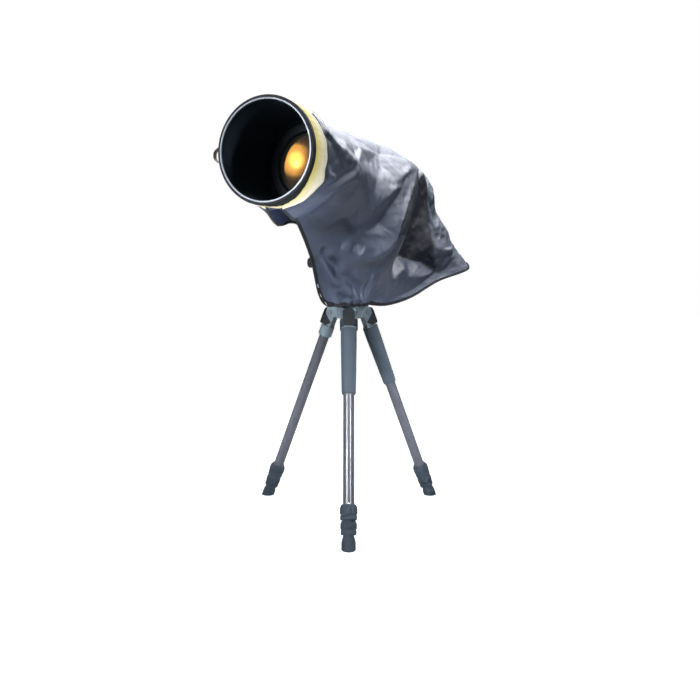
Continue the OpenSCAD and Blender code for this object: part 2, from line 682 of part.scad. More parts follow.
// how far each point of the sheet stands out of the smooth drape in the main folds, in mm:
// a row for each line across the cover, from the near lower edge over the ridge to the far one
folds = [
    [0, 0, 0, 0, 0, 0, 0, 0, 0, 0, 0, 0, 0, 0, 0, 0, 0, 0, 0, 0, 0, 0],
    [0, 1, 4, 4, 7, 3, 5, 4, 3, 0, -1, 0, 0, 1, 2, 2, 2, 2, 4, -1, -1, 0],
    [0, 2, 2, 6, 0, -1, 2, 5, 4, 1, -1, -1, 0, 2, 3, 4, 5, 7, 4, -6, -1, 0],
    [0, 3, -2, -3, 1, 2, 9, 6, 7, 1, -2, -1, 0, 2, 4, 4, 2, 6, 1, -7, -2, 0],
    [0, 2, 2, 2, 2, 9, 10, 2, 10, 8, 3, -1, 2, 3, 4, 3, 5, 7, -3, -6, -3, 0],
    [0, -1, 1, 2, 4, 6, 7, 1, 7, 5, -4, -3, 2, 3, 4, 2, 1, 7, -7, -4, -2, 0],
    [0, -3, -7, 10, -1, 2, 1, -2, 4, 3, -7, -5, 2, 2, 3, 1, 0, -2, -5, -3, -2, 0],
    [0, 1, -6, -6, -2, -6, -4, -10, -5, -12, -14, -6, 1, 3, 4, 0, -4, -4, 2, -1, 2, 0],
    [0, 0, 8, -9, -10, -12, -10, -16, -9, -12, -15, -7, 0, 3, 4, 0, -5, 1, 6, 3, -1, 0],
    [0, 3, 5, 7, -19, -2, -16, -20, -14, -14, -15, -7, 0, 2, 4, -1, -1, 12, -4, 1, -3, 0],
    [0, 18, 17, 17, -20, -3, -4, -20, -19, -15, -15, -7, -1, 1, 4, -2, 2, 10, -10, 4, 2, 0],
    [0, 21, 23, 14, -3, -10, 6, -10, -21, -18, -14, -7, 0, 2, 3, -5, 8, -2, -7, 4, 3, 0],
    [0, 10, 4, 13, 15, 11, 7, 14, -7, -19, -13, -6, 0, 3, -2, -4, 13, -10, -4, 3, 2, 0],
    [0, 1, 1, 9, 11, 13, 13, 10, 6, -7, -11, -6, 2, 0, -1, 8, 2, -7, 4, 3, 5, 0],
    [0, 0, 7, 8, 6, 6, 9, 11, 12, -2, -7, -2, 1, 4, 7, 7, -6, -1, 8, 8, 5, 0],
    [0, 4, 8, 0, 2, 1, 5, 3, 4, -2, -11, -5, 1, 4, 7, 6, 4, -4, 3, 2, 1, 0],
    [0, 8, 12, -14, -3, -4, 0, 2, 3, -8, -13, -8, 1, 4, 5, 4, 1, -1, -5, -3, 12, 0],
    [0, 3, 20, -15, -15, -3, 1, 7, 9, -8, -17, -8, 1, 2, 3, 2, -1, -4, -2, -3, 10, 0],
    [0, -3, 6, -21, -15, -1, 6, 10, -2, -12, -18, -8, 0, 1, 2, 0, -3, -4, 0, -5, -3, 0],
    [0, -6, -10, -21, -2, 8, 10, 7, 0, -12, -16, -6, 0, -1, 0, -2, -5, -2, 2, -5, -2, 0],
    [0, -11, -9, 3, 6, 8, 2, 7, 1, -10, -13, -4, 2, -2, -1, -4, -4, 0, 2, -6, -1, 0],
    [0, -5, 0, 3, -1, 5, -4, 5, 3, -6, -10, -3, 3, -1, -4, -5, -2, 1, 8, -4, -7, 0],
    [0, -2, -6, -6, 1, -5, -8, 2, 4, -3, -7, -3, 3, 2, -6, -3, 1, 6, 10, 10, -4, 0],
    [0, -3, -4, -6, -5, -6, -3, 1, 7, 2, -5, -5, 2, 3, -7, -1, 5, 9, 8, 5, 5, 0],
    [0, -1, -3, -3, -8, -5, 1, 5, 11, 5, -7, -9, 6, 5, -10, -2, 6, 10, 5, 4, 2, 0],
    [0, 0, -2, -2, -5, -6, 0, 7, 12, 2, -10, -10, 7, 4, -9, -4, 8, 7, 3, 2, 1, 0],
    [0, 0, 0, 0, 0, 0, 0, 0, 0, 0, 0, 0, 0, 0, 0, 0, 0, 0, 0, 0, 0, 0]
];

// unit normal of a grid of points, pointing into the cover
function grid_n(g, i, j) =
    let (a = g[min(i + 1, rows - 1)][j] - g[max(i - 1, 0)][j],
         b = g[i][min(j + 1, cols - 1)] - g[i][max(j - 1, 0)],
         n = cross(b, a))
    n / norm(n);

// the smooth drape, and the same sheet with its folds
drape = [for (i = [0 : rows - 1]) [for (j = [0 : cols - 1]) cover_cols[j][i]]];
sheet = [for (i = [0 : rows - 1]) [for (j = [0 : cols - 1])
    drape[i][j] - grid_n(drape, i, j) * (folds[i][j] * fold_depth)]];

// closed shell: the sheet thickened both ways, its rim stitched
module rain_cover() color("dimgray") {
    inner = [for (i = [0 : rows - 1], j = [0 : cols - 1]) sheet[i][j] + grid_n(sheet, i, j) * cover_t / 2];
    outer = [for (i = [0 : rows - 1], j = [0 : cols - 1]) sheet[i][j] - grid_n(sheet, i, j) * cover_t / 2];
    m = rows * cols;
    rim = concat([for (j = [0 : cols - 1]) j], [for (i = [1 : rows - 1]) i * cols + cols - 1],
        [for (j = [cols - 2 : -1 : 0]) (rows - 1) * cols + j], [for (i = [rows - 2 : -1 : 1]) i * cols]);
    q = len(rim);
    faces = concat(
        [for (i = [0 : rows - 2], j = [0 : cols - 2]) each
            let (a = i * cols + j) [[a, a + 1, a + cols], [a + 1, a + cols + 1, a + cols]]],
        [for (i = [0 : rows - 2], j = [0 : cols - 2]) each
            let (a = m + i * cols + j) [[a, a + cols, a + 1], [a + 1, a + cols, a + cols + 1]]],
        [for (k = [0 : q - 1]) each
            let (a = rim[k], b = rim[(k + 1) % q]) [[b, a, m + a], [b, m + a, m + b]]]);
    polyhedron(points = concat(inner, outer), faces = faces, convexity = 10);
}

spider();
hinge_bolts();
column_lock();
centre_column();
column_cap();
leg_yoke_front();
leg_yoke_right();
leg_yoke_left();
angle_latch_front();
angle_latch_right();
angle_latch_left();
leg_tube_upper_front();
leg_tube_upper_right();
leg_tube_upper_left();
leg_grip_front();
leg_grip_right();
upper_lock_front();
upper_lock_right();
upper_lock_left();
leg_tube_middle_front();
leg_tube_middle_right();
leg_tube_middle_left();
lower_lock_front();
lower_lock_right();
lower_lock_left();
leg_tube_lower_front();
leg_tube_lower_right();
leg_tube_lower_left();
foot_pad_front();
foot_pad_right();
foot_pad_left();
head_base();
pan_housing();
pan_knob();
tilt_axle();
tilt_knob();
tilt_cradle();
clamp_base();
clamp_knob();
quick_plate();
lens_foot();
lens_collar();
collar_knob();
lens_barrel();
focus_ring();
front_ring();
front_element();
rear_element();
bayonet_ring();
lens_hood();
hood_bezel();
hood_bumper();
hood_knob();
camera_body();
eyecup();
shutter_button();
mode_dial();
rain_cover();
cover_cuff();
cuff_strap();
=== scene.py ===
import math

import bmesh
import bpy
import numpy as np
from mathutils import Matrix, Vector, noise
from mathutils.bvhtree import BVHTree
from mathutils.geometry import delaunay_2d_cdt


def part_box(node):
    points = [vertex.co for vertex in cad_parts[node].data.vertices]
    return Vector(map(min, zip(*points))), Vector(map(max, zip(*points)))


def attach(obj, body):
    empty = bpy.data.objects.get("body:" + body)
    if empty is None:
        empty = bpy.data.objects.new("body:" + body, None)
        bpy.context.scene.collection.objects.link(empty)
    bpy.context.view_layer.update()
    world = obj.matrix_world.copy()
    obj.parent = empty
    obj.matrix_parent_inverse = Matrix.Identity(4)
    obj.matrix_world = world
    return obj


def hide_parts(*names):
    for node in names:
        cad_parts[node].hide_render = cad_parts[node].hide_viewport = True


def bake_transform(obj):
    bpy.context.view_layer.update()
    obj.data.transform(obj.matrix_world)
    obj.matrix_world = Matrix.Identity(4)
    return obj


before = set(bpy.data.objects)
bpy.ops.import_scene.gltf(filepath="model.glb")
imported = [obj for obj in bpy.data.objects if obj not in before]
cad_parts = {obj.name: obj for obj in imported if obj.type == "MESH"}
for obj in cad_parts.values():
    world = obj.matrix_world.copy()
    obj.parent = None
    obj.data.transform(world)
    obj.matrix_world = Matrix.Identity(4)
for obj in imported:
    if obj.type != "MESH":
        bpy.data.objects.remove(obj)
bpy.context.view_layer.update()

bl_info = {
    "name": "Covered telephoto camera",
    "version": (1, 0, 0),
    "blender": (4, 5, 0),
    "location": "View3D > Sidebar > Covered camera",
    "description": "Dresses a long lens camera under a rain cover, on a three-section tripod",
    "category": "Object",
}

MM = 0.001

# places read from the solids: lens axis height, hood radius and hood front
HOOD_LOW, HOOD_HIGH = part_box("lens_hood")
AXIS = (HOOD_LOW[2] + HOOD_HIGH[2]) / 2
HOOD_R = (HOOD_HIGH[0] - HOOD_LOW[0]) / 2
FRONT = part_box("hood_bezel")[0][1]
# legs as the solids have them: turn and lean in degrees; hinge circle, hinge to sole and tube in metres
LEGS = ("front", "right", "left")
LEG_TURN = {"front": -68.9, "right": 51.1, "left": 171.1}
LEG_LEAN = 22.6
HINGE_R, LEG_LONG, TUBE_R = 0.045, 0.534, 0.0125
HINGE_Z = LEG_LONG * math.cos(math.radians(LEG_LEAN))


def linear(code):
    """Linear RGBA of an sRGB hex colour."""
    parts = [int(code[i : i + 2], 16) / 255 for i in (1, 3, 5)]
    return [c / 12.92 if c <= 0.04045 else ((c + 0.055) / 1.055) ** 2.4 for c in parts] + [1.0]


def per(mm):
    """Pattern scale, in cycles a metre, of a pattern that repeats every mm millimetres."""
    return 1000.0 / mm


def add(tree, kind, inputs=None, to=None, **settings):
    """Adds one node with its settings, values and links.

    A node given as a value links its first output; to is a socket that takes the new node's.
    """
    node = tree.nodes.new(kind)
    for key, value in settings.items():
        setattr(node, key, value)
    for key, value in (inputs or {}).items():
        if isinstance(value, bpy.types.Node):
            value = value.outputs[0]
        if isinstance(value, bpy.types.NodeSocket):
            tree.links.new(value, node.inputs[key])
        else:
            node.inputs[key].default_value = value
    if to is not None:
        tree.links.new(node.outputs[0], to)
    return node


def shade(value, factor):
    """A linear colour made lighter or darker."""
    return [min(1.0, c * factor) for c in value[:3]] + [1.0]


def surface(name, sockets):
    """A new material, its tree, its shader with these values, and the object coordinates."""
    material = bpy.data.materials.new(name)
    material.use_nodes = True
    tree = material.node_tree
    tree.nodes.clear()
    shader = add(tree, "ShaderNodeBsdfPrincipled", sockets)
    add(tree, "ShaderNodeOutputMaterial", {"Surface": shader})
    where = add(tree, "ShaderNodeTexCoord").outputs["Object"]
    return material, tree, shader, where


def mottle(tree, shader, where, colour, mm, depth, rough=None, swing=0.1):
    """Colour and gloss that drift over the surface, as on any made thing; returns the colour's socket."""
    patch = add(tree, "ShaderNodeTexNoise", {"Vector": where, "Scale": per(mm), "Detail": 4.0})
    ramp = add(tree, "ShaderNodeMix", {"Factor": patch, 6: shade(colour, 1 - depth),
               7: shade(colour, 1 + depth)}, data_type="RGBA")
    tree.links.new(ramp.outputs[2], shader.inputs["Base Color"])
    if rough is not None:
        add(tree, "ShaderNodeMapRange", {"Value": patch, "From Min": 0.3, "From Max": 0.7,
            "To Min": rough - swing, "To Max": rough + swing}, shader.inputs["Roughness"])
    return ramp.outputs[2]


# sizes and colours a user would change


def tint(name, description, code):
    """A colour setting, from an sRGB hex value."""
    return bpy.props.FloatVectorProperty(
        name=name, description=description, default=linear(code)[:3], subtype="COLOR")


def number(name, description, default, **more):
    """A setting that is a number."""
    return bpy.props.FloatProperty(name=name, description=description, default=default, **more)


class CoverSizes(bpy.types.PropertyGroup):
    """Sizes of the rain cover and its trim."""

    cloth: number("Cloth thickness", "Thickness of the coated cloth", 0.0006, unit="LENGTH")
    folds: number("Fold depth", "Scale of the drawn folds", 1.0, subtype="FACTOR")
    crumple: number("Crumple", "Height of the small creases", 0.0016, unit="LENGTH")
    binding: number("Binding radius", "Half thickness of the bound hem", 0.0022, unit="LENGTH")
    stitch: number("Stitch pitch", "Distance from stitch to stitch", 0.0055, unit="LENGTH")


class CoverColours(bpy.types.PropertyGroup):
    """Colours of the rain cover and its trim."""

    nylon: tint("Nylon", "Coated face of the cover", "#667286")
    binding: tint("Binding", "Bound hem and front edge", "#2b2e38")
    cuff: tint("Cuff", "Elastic cuff on the hood", "#f7ea86")
    webbing: tint("Webbing", "Strap loop on the cuff", "#4a4e58")


class StandFinish(bpy.types.PropertyGroup):
    """Colours of the tripod and head, and the ribs of the twist locks."""

    casting: tint("Castings", "Painted leg castings and crown", "#8496a3")
    tube: tint("Tubes", "Lacquered leg tubes", "#50535f")
    foam: tint("Grips", "Foam of the leg grips", "#46525f")
    rubber: tint("Rubber", "Twist locks and feet", "#343f4b")
    ribs: bpy.props.IntProperty(name="Lock ribs", description="Ribs round one twist lock", default=22)
    rib: number("Rib width", "Width of one rib of a twist lock", 0.003, unit="LENGTH")


class OpticsFinish(bpy.types.PropertyGroup):
    """Colours of the lens and camera."""

    coating: tint("Coating", "Amber coating of the front glass", "#ffb03a")
    hood: tint("Hood", "Hood and its flock", "#36424e")
    barrel: tint("Barrel", "Paint of the lens barrel", "#d6d5cf")
    body: tint("Camera", "Shell of the camera body", "#1b1c1f")


class StageSizes(bpy.types.PropertyGroup):
    """Camera and lamps."""

    focal: number("Focal length", "Camera lens in millimetres", 35.51)
    top: number("Softboxes", "Power that the two overhead lamps share", 22.0, unit="POWER")
    side: number("Leg lamps", "Power that the strips and fills are set from", 1.0, unit="POWER")
    glow: number("Umbrella", "Power of the round front lamp", 14.0, unit="POWER")
    air: number("Room light", "Strength of the white room behind", 0.07)


# finishes


def bands(mm):
    """Scale of a wave texture whose bands lie about mm millimetres apart; at scale 1 that is 0.314 m."""
    return per(mm) / 3.14


def grained(name, colour, sockets, drift, grain):
    """A finish whose colour drifts over a fine grain.

    drift is what mottle takes after the colour; grain is its spacing in millimetres, its detail,
    its height in millimetres and its strength.
    """
    material, tree, shader, where = surface(name, sockets)
    mottle(tree, shader, where, colour, *drift)
    spacing, detail, height, strength = grain
    grit = add(tree, "ShaderNodeTexNoise", {"Vector": where, "Scale": per(spacing), "Detail": detail})
    add(tree, "ShaderNodeBump", {"Height": grit, "Distance": height * MM, "Strength": strength},
        shader.inputs["Normal"])
    return material


def wiped(tree, shader, where, mm, detail, least, most):
    """Gloss that varies as on wiped glass."""
    patch = add(tree, "ShaderNodeTexNoise", {"Vector": where, "Scale": per(mm), "Detail": detail})
    add(tree, "ShaderNodeMapRange", {"Value": patch, "To Min": least, "To Max": most},
        shader.inputs["Roughness"])


def coated_nylon(name, colour):
    # thin nylon with a polyurethane face: a plain weave that reads as fine grain, a soft sheen,
    # and short hard creases left from being packed away; in the recess behind the near pleat shade is
    # painted in: the cloth there is drawn darker and with a thinner coat
    material, tree, shader, where = surface(name, {
        "Roughness": 0.42, "Specular IOR Level": 0.5, "Coat Weight": 0.55, "Coat Roughness": 0.33,
        "Coat Tint": linear("#e8ecff")})
    base = mottle(tree, shader, where, colour, 60, 0.10, 0.42, 0.06)
    # painted shade: colour darkened and coat thinned in the recess behind the near pleat
    painted_shade = add(tree, "ShaderNodeAttribute", attribute_name="painted_shade")
    dark = add(tree, "ShaderNodeMix", {"Factor": painted_shade.outputs["Fac"], 6: base, 7: linear("#8a8a90")},
               data_type="RGBA", blend_type="MULTIPLY")
    tree.links.new(dark.outputs[2], shader.inputs["Base Color"])
    add(tree, "ShaderNodeMapRange", {"Value": painted_shade.outputs["Fac"], "To Min": 0.55, "To Max": 0.08},
        shader.inputs["Coat Weight"])
    # threads every 0.5 mm would not show; drawn every 3.2 mm
    warp, weft = (add(tree, "ShaderNodeTexWave", {"Vector": where, "Scale": bands(3.2), "Distortion": 0.6},
                      bands_direction=way) for way in "YZ")
    weave = add(tree, "ShaderNodeMath", {0: warp.outputs[1], 1: weft.outputs[1]}, operation="MULTIPLY")
    fine = add(tree, "ShaderNodeBump", {"Height": weave, "Distance": 0.12 * MM, "Strength": 0.5})
    # pack creases: thin ridges of a folded noise, about 30 mm apart
    pack = add(tree, "ShaderNodeTexNoise", {"Vector": where, "Scale": per(34), "Detail": 3.0,
               "Distortion": 0.8}, noise_dimensions="3D", noise_type="RIDGED_MULTIFRACTAL", normalize=True)
    add(tree, "ShaderNodeBump", {"Height": pack, "Distance": 3.0 * MM, "Strength": 0.8, "Normal": fine},
        shader.inputs["Normal"])
    return material


def bound_tape(name, colour):
    # folded polyester tape: darker and flatter than the cloth, grained every millimetre
    return grained(name, colour, {"Roughness": 0.75, "Sheen Weight": 0.15}, (12, 0.15), (1.0, 2.0, 0.25, 0.6))


def elastic_knit(name, colour, pale, start, end):
    # fluorescent knitted elastic: matt, and made to glow by an emission that is painted light, keeping it
    # bright where it lies in shade; yellow at its front, paler towards its back;
    # ribs every 2 mm would not show, so they are drawn every 6.4 mm
    material, tree, shader, where = surface(name, {
        "Roughness": 0.75, "Specular IOR Level": 0.2, "Emission Strength": 0.42})
    place = add(tree, "ShaderNodeSeparateXYZ", {0: where})
    wave = add(tree, "ShaderNodeTexNoise", {"Vector": where, "Scale": per(40)})
    # the noise swings the border by 20 mm, 10 mm to either side
    drift = add(tree, "ShaderNodeMath", {0: wave, 1: 0.02, 2: place.outputs[1]}, operation="MULTIPLY_ADD")
    share = add(tree, "ShaderNodeMapRange",
                {"Value": drift, "From Min": start + 0.01, "From Max": end + 0.01})
    blend = add(tree, "ShaderNodeMix", {"Factor": share, 6: shade(colour, 1.0), 7: pale}, data_type="RGBA")
    tree.links.new(blend.outputs[2], shader.inputs["Base Color"])
    # painted light: the emission makes the cuff glow though it is no lamp
    tree.links.new(blend.outputs[2], shader.inputs["Emission Color"])
    rib = add(tree, "ShaderNodeTexWave", {"Vector": where, "Scale": bands(6.4), "Distortion": 1.0,
              "Detail": 1.0, "Detail Scale": 3.0}, bands_direction="Y")
    add(tree, "ShaderNodeBump", {"Height": rib.outputs[1], "Distance": 0.25 * MM, "Strength": 0.5},
        shader.inputs["Normal"])
    return material


def webbing(name, colour):
    # woven nylon webbing: slanting ribs about 4 mm apart, slightly shiny yarn
    material, tree, shader, where = surface(name, {"Roughness": 0.6, "Sheen Weight": 0.2})
    mottle(tree, shader, where, colour, 8, 0.2)
    rib = add(tree, "ShaderNodeTexWave", {"Vector": where, "Scale": bands(4.0), "Distortion": 1.5},
              bands_direction="DIAGONAL")
    add(tree, "ShaderNodeBump", {"Height": rib.outputs[1], "Distance": 0.3 * MM, "Strength": 0.7},
        shader.inputs["Normal"])
    return material


def painted_casting(name, colour):
    # die-cast alloy under satin paint: fine orange peel, soft broad highlights, faint cloudiness
    return grained(name, colour, {"Metallic": 0.25, "Roughness": 0.4, "Coat Weight": 0.15},
                   (18, 0.07, 0.38, 0.08), (1.4, 2.0, 0.12, 0.5))


def lacquered_tube(name, colour):
    # wound fibre tube under clear lacquer: dark, deep gloss with a faint spiral grain
    material, tree, shader, where = surface(name, {
        "Roughness": 0.32, "Coat Weight": 0.6, "Coat Roughness": 0.12})
    mottle(tree, shader, where, colour, 9, 0.16, 0.33, 0.06)
    wind = add(tree, "ShaderNodeTexWave", {"Vector": where, "Scale": bands(8.0), "Distortion": 2.0,
               "Detail": 2.0}, bands_direction="Z")
    add(tree, "ShaderNodeBump", {"Height": wind.outputs[1], "Distance": 0.05 * MM, "Strength": 0.4},
        shader.inputs["Normal"])
    return material


def closed_foam(name, colour):
    # dense closed-cell foam: matt, pitted every 1.5 mm, a little worn and paler in patches
    material, tree, shader, where = surface(name, {"Roughness": 0.85, "Sheen Weight": 0.2})
    mottle(tree, shader, where, colour, 22, 0.10)
    cell = add(tree, "ShaderNodeTexVoronoi", {"Vector": where, "Scale": per(1.5)})
    add(tree, "ShaderNodeBump", {"Height": cell, "Distance": 0.35 * MM, "Strength": 0.6},
        shader.inputs["Normal"])
    return material


def moulded_rubber(name, colour):
    # moulded rubber: dull, dust in the pores, slightly paler where hands rub it
    return grained(name, colour, {"Roughness": 0.68, "Specular IOR Level": 0.35},
                   (10, 0.14, 0.66, 0.08), (0.9, 3.0, 0.15, 0.5))


def moulded_plastic(name, colour, rough=0.45, grain=0.8):
    # glass-filled nylon from a spark-eroded mould: even fine grain, soft highlights
    return grained(name, colour, {"Roughness": rough, "Specular IOR Level": 0.5},
                   (14, 0.10, rough, 0.06), (grain, 2.0, 0.08, 0.6))


def turned_metal(name, colour, rough=0.28):
    # turned or milled metal: tight highlights broken by fine tool marks
    return grained(name, colour, {"Metallic": 1.0, "Roughness": rough},
                   (12, 0.06, rough, 0.07), (0.4, 1.0, 0.02, 0.4))


def anodised_alloy(name, colour, rough=0.38):
    # bead-blasted and anodised aluminium: a fine even satin
    return grained(name, colour, {"Metallic": 0.85, "Roughness": rough},
                   (20, 0.06, rough, 0.05), (0.6, 2.0, 0.04, 0.5))


def hood_lining(name, colour):
    # carbon shell with flocked lining: the flock swallows light, a trace of blue at grazing angles
    return grained(name, colour, {"Roughness": 0.8, "Specular IOR Level": 0.12, "Sheen Weight": 0.12,
                   "Sheen Roughness": 0.6, "Sheen Tint": linear("#5f7380")}, (5, 0.25), (0.8, 3.0, 0.3, 0.6))


def coated_glass(name, colour):
    # the back face of the front element: anti-reflection layers that throw back amber
    material, tree, shader, where = surface(name, {
        "Base Color": colour, "Metallic": 0.92, "Roughness": 0.08})
    wiped(tree, shader, where, 30, 5.0, 0.06, 0.16)
    return material


def clear_glass(name):
    # bloomed optical glass seen square on: nearly nothing but a weak mirror of the room
    material, tree, shader, where = surface(name, {
        "Base Color": linear("#f4f1e6"), "Roughness": 0.02, "Alpha": 0.06, "IOR": 1.5})
    wiped(tree, shader, where, 45, 4.0, 0.01, 0.05)
    return material


# making and placing


def piece(name, points, faces, material, smooth=True):
    """A mesh at the origin from points in metres."""
    mesh = bpy.data.meshes.new(name)
    mesh.from_pydata([tuple(p) for p in points], [], faces)
    mesh.update()
    mesh.shade_smooth() if smooth else mesh.shade_flat()
    mesh.materials.append(material)
    obj = bpy.data.objects.new(name, mesh)
    bpy.context.scene.collection.objects.link(obj)
    return obj


def grid_faces(rows, cols, closed=False):
    """Quads of a grid of points, rows first; closed joins the last column to the first."""
    span = cols if closed else cols - 1
    return [(i * cols + j, i * cols + (j + 1) % cols, (i + 1) * cols + (j + 1) % cols, (i + 1) * cols + j)
            for i in range(rows - 1) for j in range(span)]


def turned(name, profile, count, place, material, body):
    """A form revolved about +Z from (radius, height) pairs, closed at radius zero, then placed."""
    points = [place @ Vector((r * math.cos(a), r * math.sin(a), z)) for r, z in profile
              for a in (2 * math.pi * k / count for k in range(count))]
    obj = piece(name, points, grid_faces(len(profile), count, True), material)
    weld(obj)
    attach(obj, body)
    return obj


def weld(obj):
    """Merges doubled points and turns the faces outwards."""
    bm = bmesh.new()
    bm.from_mesh(obj.data)
    bmesh.ops.remove_doubles(bm, verts=bm.verts, dist=1e-6)
    bmesh.ops.recalc_face_normals(bm, faces=bm.faces)
    bm.to_mesh(obj.data)
    bm.free()
    obj.data.update()


def leg_place(leg):
    """Matrix from the leg's own frame, hinge at the origin and leg along -Z, to the model."""
    return (Matrix.Rotation(math.radians(LEG_TURN[leg]), 4, "Z")
            @ Matrix.Translation((HINGE_R, 0, HINGE_Z))
            @ Matrix.Rotation(math.radians(-LEG_LEAN), 4, "Y"))


def lens_place():
    """Matrix from a frame with +Z along the lens axis and zero at the hood front, to the model."""
    return Matrix.Translation((0, FRONT, AXIS)) @ Matrix.Rotation(math.radians(-90), 4, "X")


# Geometry Nodes trees


def new_tree(name, inputs, geometry=False):
    """A tree with named inputs; returns it and the sockets of its group input."""
    tree = bpy.data.node_groups.new(name, "GeometryNodeTree")
    if geometry:
        tree.interface.new_socket("Geometry", in_out="INPUT", socket_type="NodeSocketGeometry")
    for key, kind in inputs.items():
        tree.interface.new_socket(key, in_out="INPUT", socket_type="NodeSocket" + kind)
    tree.interface.new_socket("Geometry", in_out="OUTPUT", socket_type="NodeSocketGeometry")
    return tree, add(tree, "NodeGroupInput").outputs


def finish_tree(tree, geometry, material):
    """Realizes and paints what the tree has made."""
    real = add(tree, "GeometryNodeRealizeInstances", {"Geometry": geometry})
    paint = add(tree, "GeometryNodeSetMaterial", {"Geometry": real, "Material": material})
    add(tree, "NodeGroupOutput", {"Geometry": paint})
    return tree


def rib_tree():
    """Half-round ribs standing round a cylinder about +Z."""
    tree, out = new_tree("Ribs round a grip", {"Count": "Int", "Radius": "Float", "Length": "Float",
                         "Width": "Float", "Material": "Material"})
    ring = add(tree, "GeometryNodeMeshCircle", {"Vertices": out["Count"], "Radius": out["Radius"]})
    half = add(tree, "ShaderNodeMath", {0: out["Width"], 1: 0.5}, operation="MULTIPLY")
    rib = add(tree, "GeometryNodeMeshCylinder", {"Vertices": 10, "Radius": half, "Depth": out["Length"]})
    smooth = add(tree, "GeometryNodeSetShadeSmooth", {"Geometry": rib})
    spot = add(tree, "GeometryNodeInstanceOnPoints", {"Points": ring, "Instance": smooth})
    return finish_tree(tree, spot, out["Material"])


def bead_tree():
    """A round bead drawn along a line of edges."""
    tree, out = new_tree("Bead along an edge", {"Radius": "Float", "Material": "Material"}, True)
    path = add(tree, "GeometryNodeMeshToCurve", {"Mesh": out["Geometry"]})
    ring = add(tree, "GeometryNodeCurvePrimitiveCircle", {"Resolution": 10, "Radius": out["Radius"]})
    bead = add(tree, "GeometryNodeCurveToMesh", {"Curve": path, "Profile Curve": ring, "Fill Caps": True})
    smooth = add(tree, "GeometryNodeSetShadeSmooth", {"Geometry": bead})
    return finish_tree(tree, smooth, out["Material"])


def stitch_tree():
    """Short threads laid end to end along a line of edges."""
    tree, out = new_tree("Stitches along a seam", {"Pitch": "Float", "Radius": "Float", "Length": "Float",
                         "Material": "Material"}, True)
    path = add(tree, "GeometryNodeMeshToCurve", {"Mesh": out["Geometry"]})
    step = add(tree, "GeometryNodeResampleCurve", {"Curve": path, "Length": out["Pitch"]}, mode="LENGTH")
    along = add(tree, "GeometryNodeInputTangent")
    turn = add(tree, "FunctionNodeAlignRotationToVector", {"Vector": along}, axis="Z")
    thread = add(tree, "GeometryNodeMeshCylinder", {"Vertices": 6, "Radius": out["Radius"],
                 "Depth": out["Length"]})
    spot = add(tree, "GeometryNodeInstanceOnPoints", {"Points": step, "Instance": thread, "Rotation": turn})
    return finish_tree(tree, spot, out["Material"])


def grown(name, tree, values, points=None, place=None):
    """The plain mesh that a tree makes, from a line of points if the tree takes one."""
    mesh = bpy.data.meshes.new(name)
    if points is not None:
        mesh.from_pydata([tuple(p) for p in points], [(k, k + 1) for k in range(len(points) - 1)], [])
    obj = bpy.data.objects.new(name, mesh)
    bpy.context.scene.collection.objects.link(obj)
    modifier = obj.modifiers.new(name, "NODES")
    modifier.node_group = tree
    for item in tree.interface.items_tree:
        if item.in_out == "INPUT" and item.name in values:
            modifier[item.identifier] = values[item.name]
    bpy.context.view_layer.update()
    solid = bpy.data.meshes.new_from_object(obj.evaluated_get(bpy.context.evaluated_depsgraph_get()))
    obj.modifiers.clear()
    obj.data = solid
    solid.name = name
    if place is not None:
        solid.transform(place)
    if not solid.polygons:
        raise RuntimeError(name + " came out empty")
    return obj


# the cover's sheet

# near side of the cover at each station along it, in millimetres from the tripod axis and the lens axis:
# lower edge, waist, side, roof, ridge; the far side mirrors it except where listed
STATIONS = [
    [(7, -370.5, -97.5), (69, -370.5, -69), (97.5, -370.5, 8.5), (62.7, -347, 74.7), (0, -300, 97.5)],
    [(4, -318, -114), (77, -318, -72), (98.5, -318, 2), (64.5, -305, 75), (0, -268, 99)],
    [(-20, -245, -115), (79, -235, -74), (99.5, -235, -5), (64.5, -232, 76), (0, -225, 101)],
    [(-26, -165, -184), (70, -150, -108), (98.5, -150, -5), (59, -150, 78), (0, -150, 104)],
    [(-28, -94, -286), (76, -85, -145), (97.5, -75, -10), (56, -70, 80.5), (0, -70, 107)],
    [(16, -44, -294), (90, -38, -160), (98.5, 0, -15), (56, 10, 82), (0, 10, 110)],
    [(42, -6, -295), (108, 5, -142), (100.5, 85, -20), (58, 105, 82), (0, 90, 111.5)],
    [(38, 30, -294), (117, 42, -138), (101.5, 185, -28), (72, 250, 80), (0, 190, 111.5)],
    [(70, 78, -298), (68, 120, -175), (86, 270, -30), (78, 318, 72), (0, 270, 111.5)],
    [(106, 172, -281), (94, 212, -180), (92, 330, -30), (81, 350, 70), (0, 325, 111.5)],
    [(150, 282, -240), (138, 294, -168), (114, 345, -72), (82, 370, 66), (0, 362, 109.5)],
    [(205, 408, -207), (160, 402, -130), (116, 393.5, -40), (76, 385.5, 60), (0, 382.5, 99.5)],
    [(172, 426, -176), (126, 420, -112), (92, 409.5, -50), (58, 402.5, 22), (0, 397.5, 60)],
    [(166, 430, -178), (122, 428, -136), (80, 418.5, -122), (40, 416.5, -114), (0, 415.5, -110)],
]
FAR_EDGE = [(-24, -370.5, -95), (-24, -326, -125), (-32, -248, -115), (-66, -140, -112), (-100, -40, -128),
            (-104, 30, -180), (-46, 14, -284)]
FAR_WAIST = {3: (-93, -140, -62), 4: (-101, -50, -80), 5: (-107, 22, -112), 6: (-113, 46, -155)}
# about how far apart, in millimetres, two stations and two columns lie
SPAN_ALONG, SPAN_ROUND = 70, 120
# steps from station to station and from column to column
STEPS_ALONG = [12, 16, 22, 22, 20, 20, 24, 26, 20, 16, 18, 14, 18]
STEPS_ROUND = [36, 34, 28, 20, 14, 18, 18, 18]

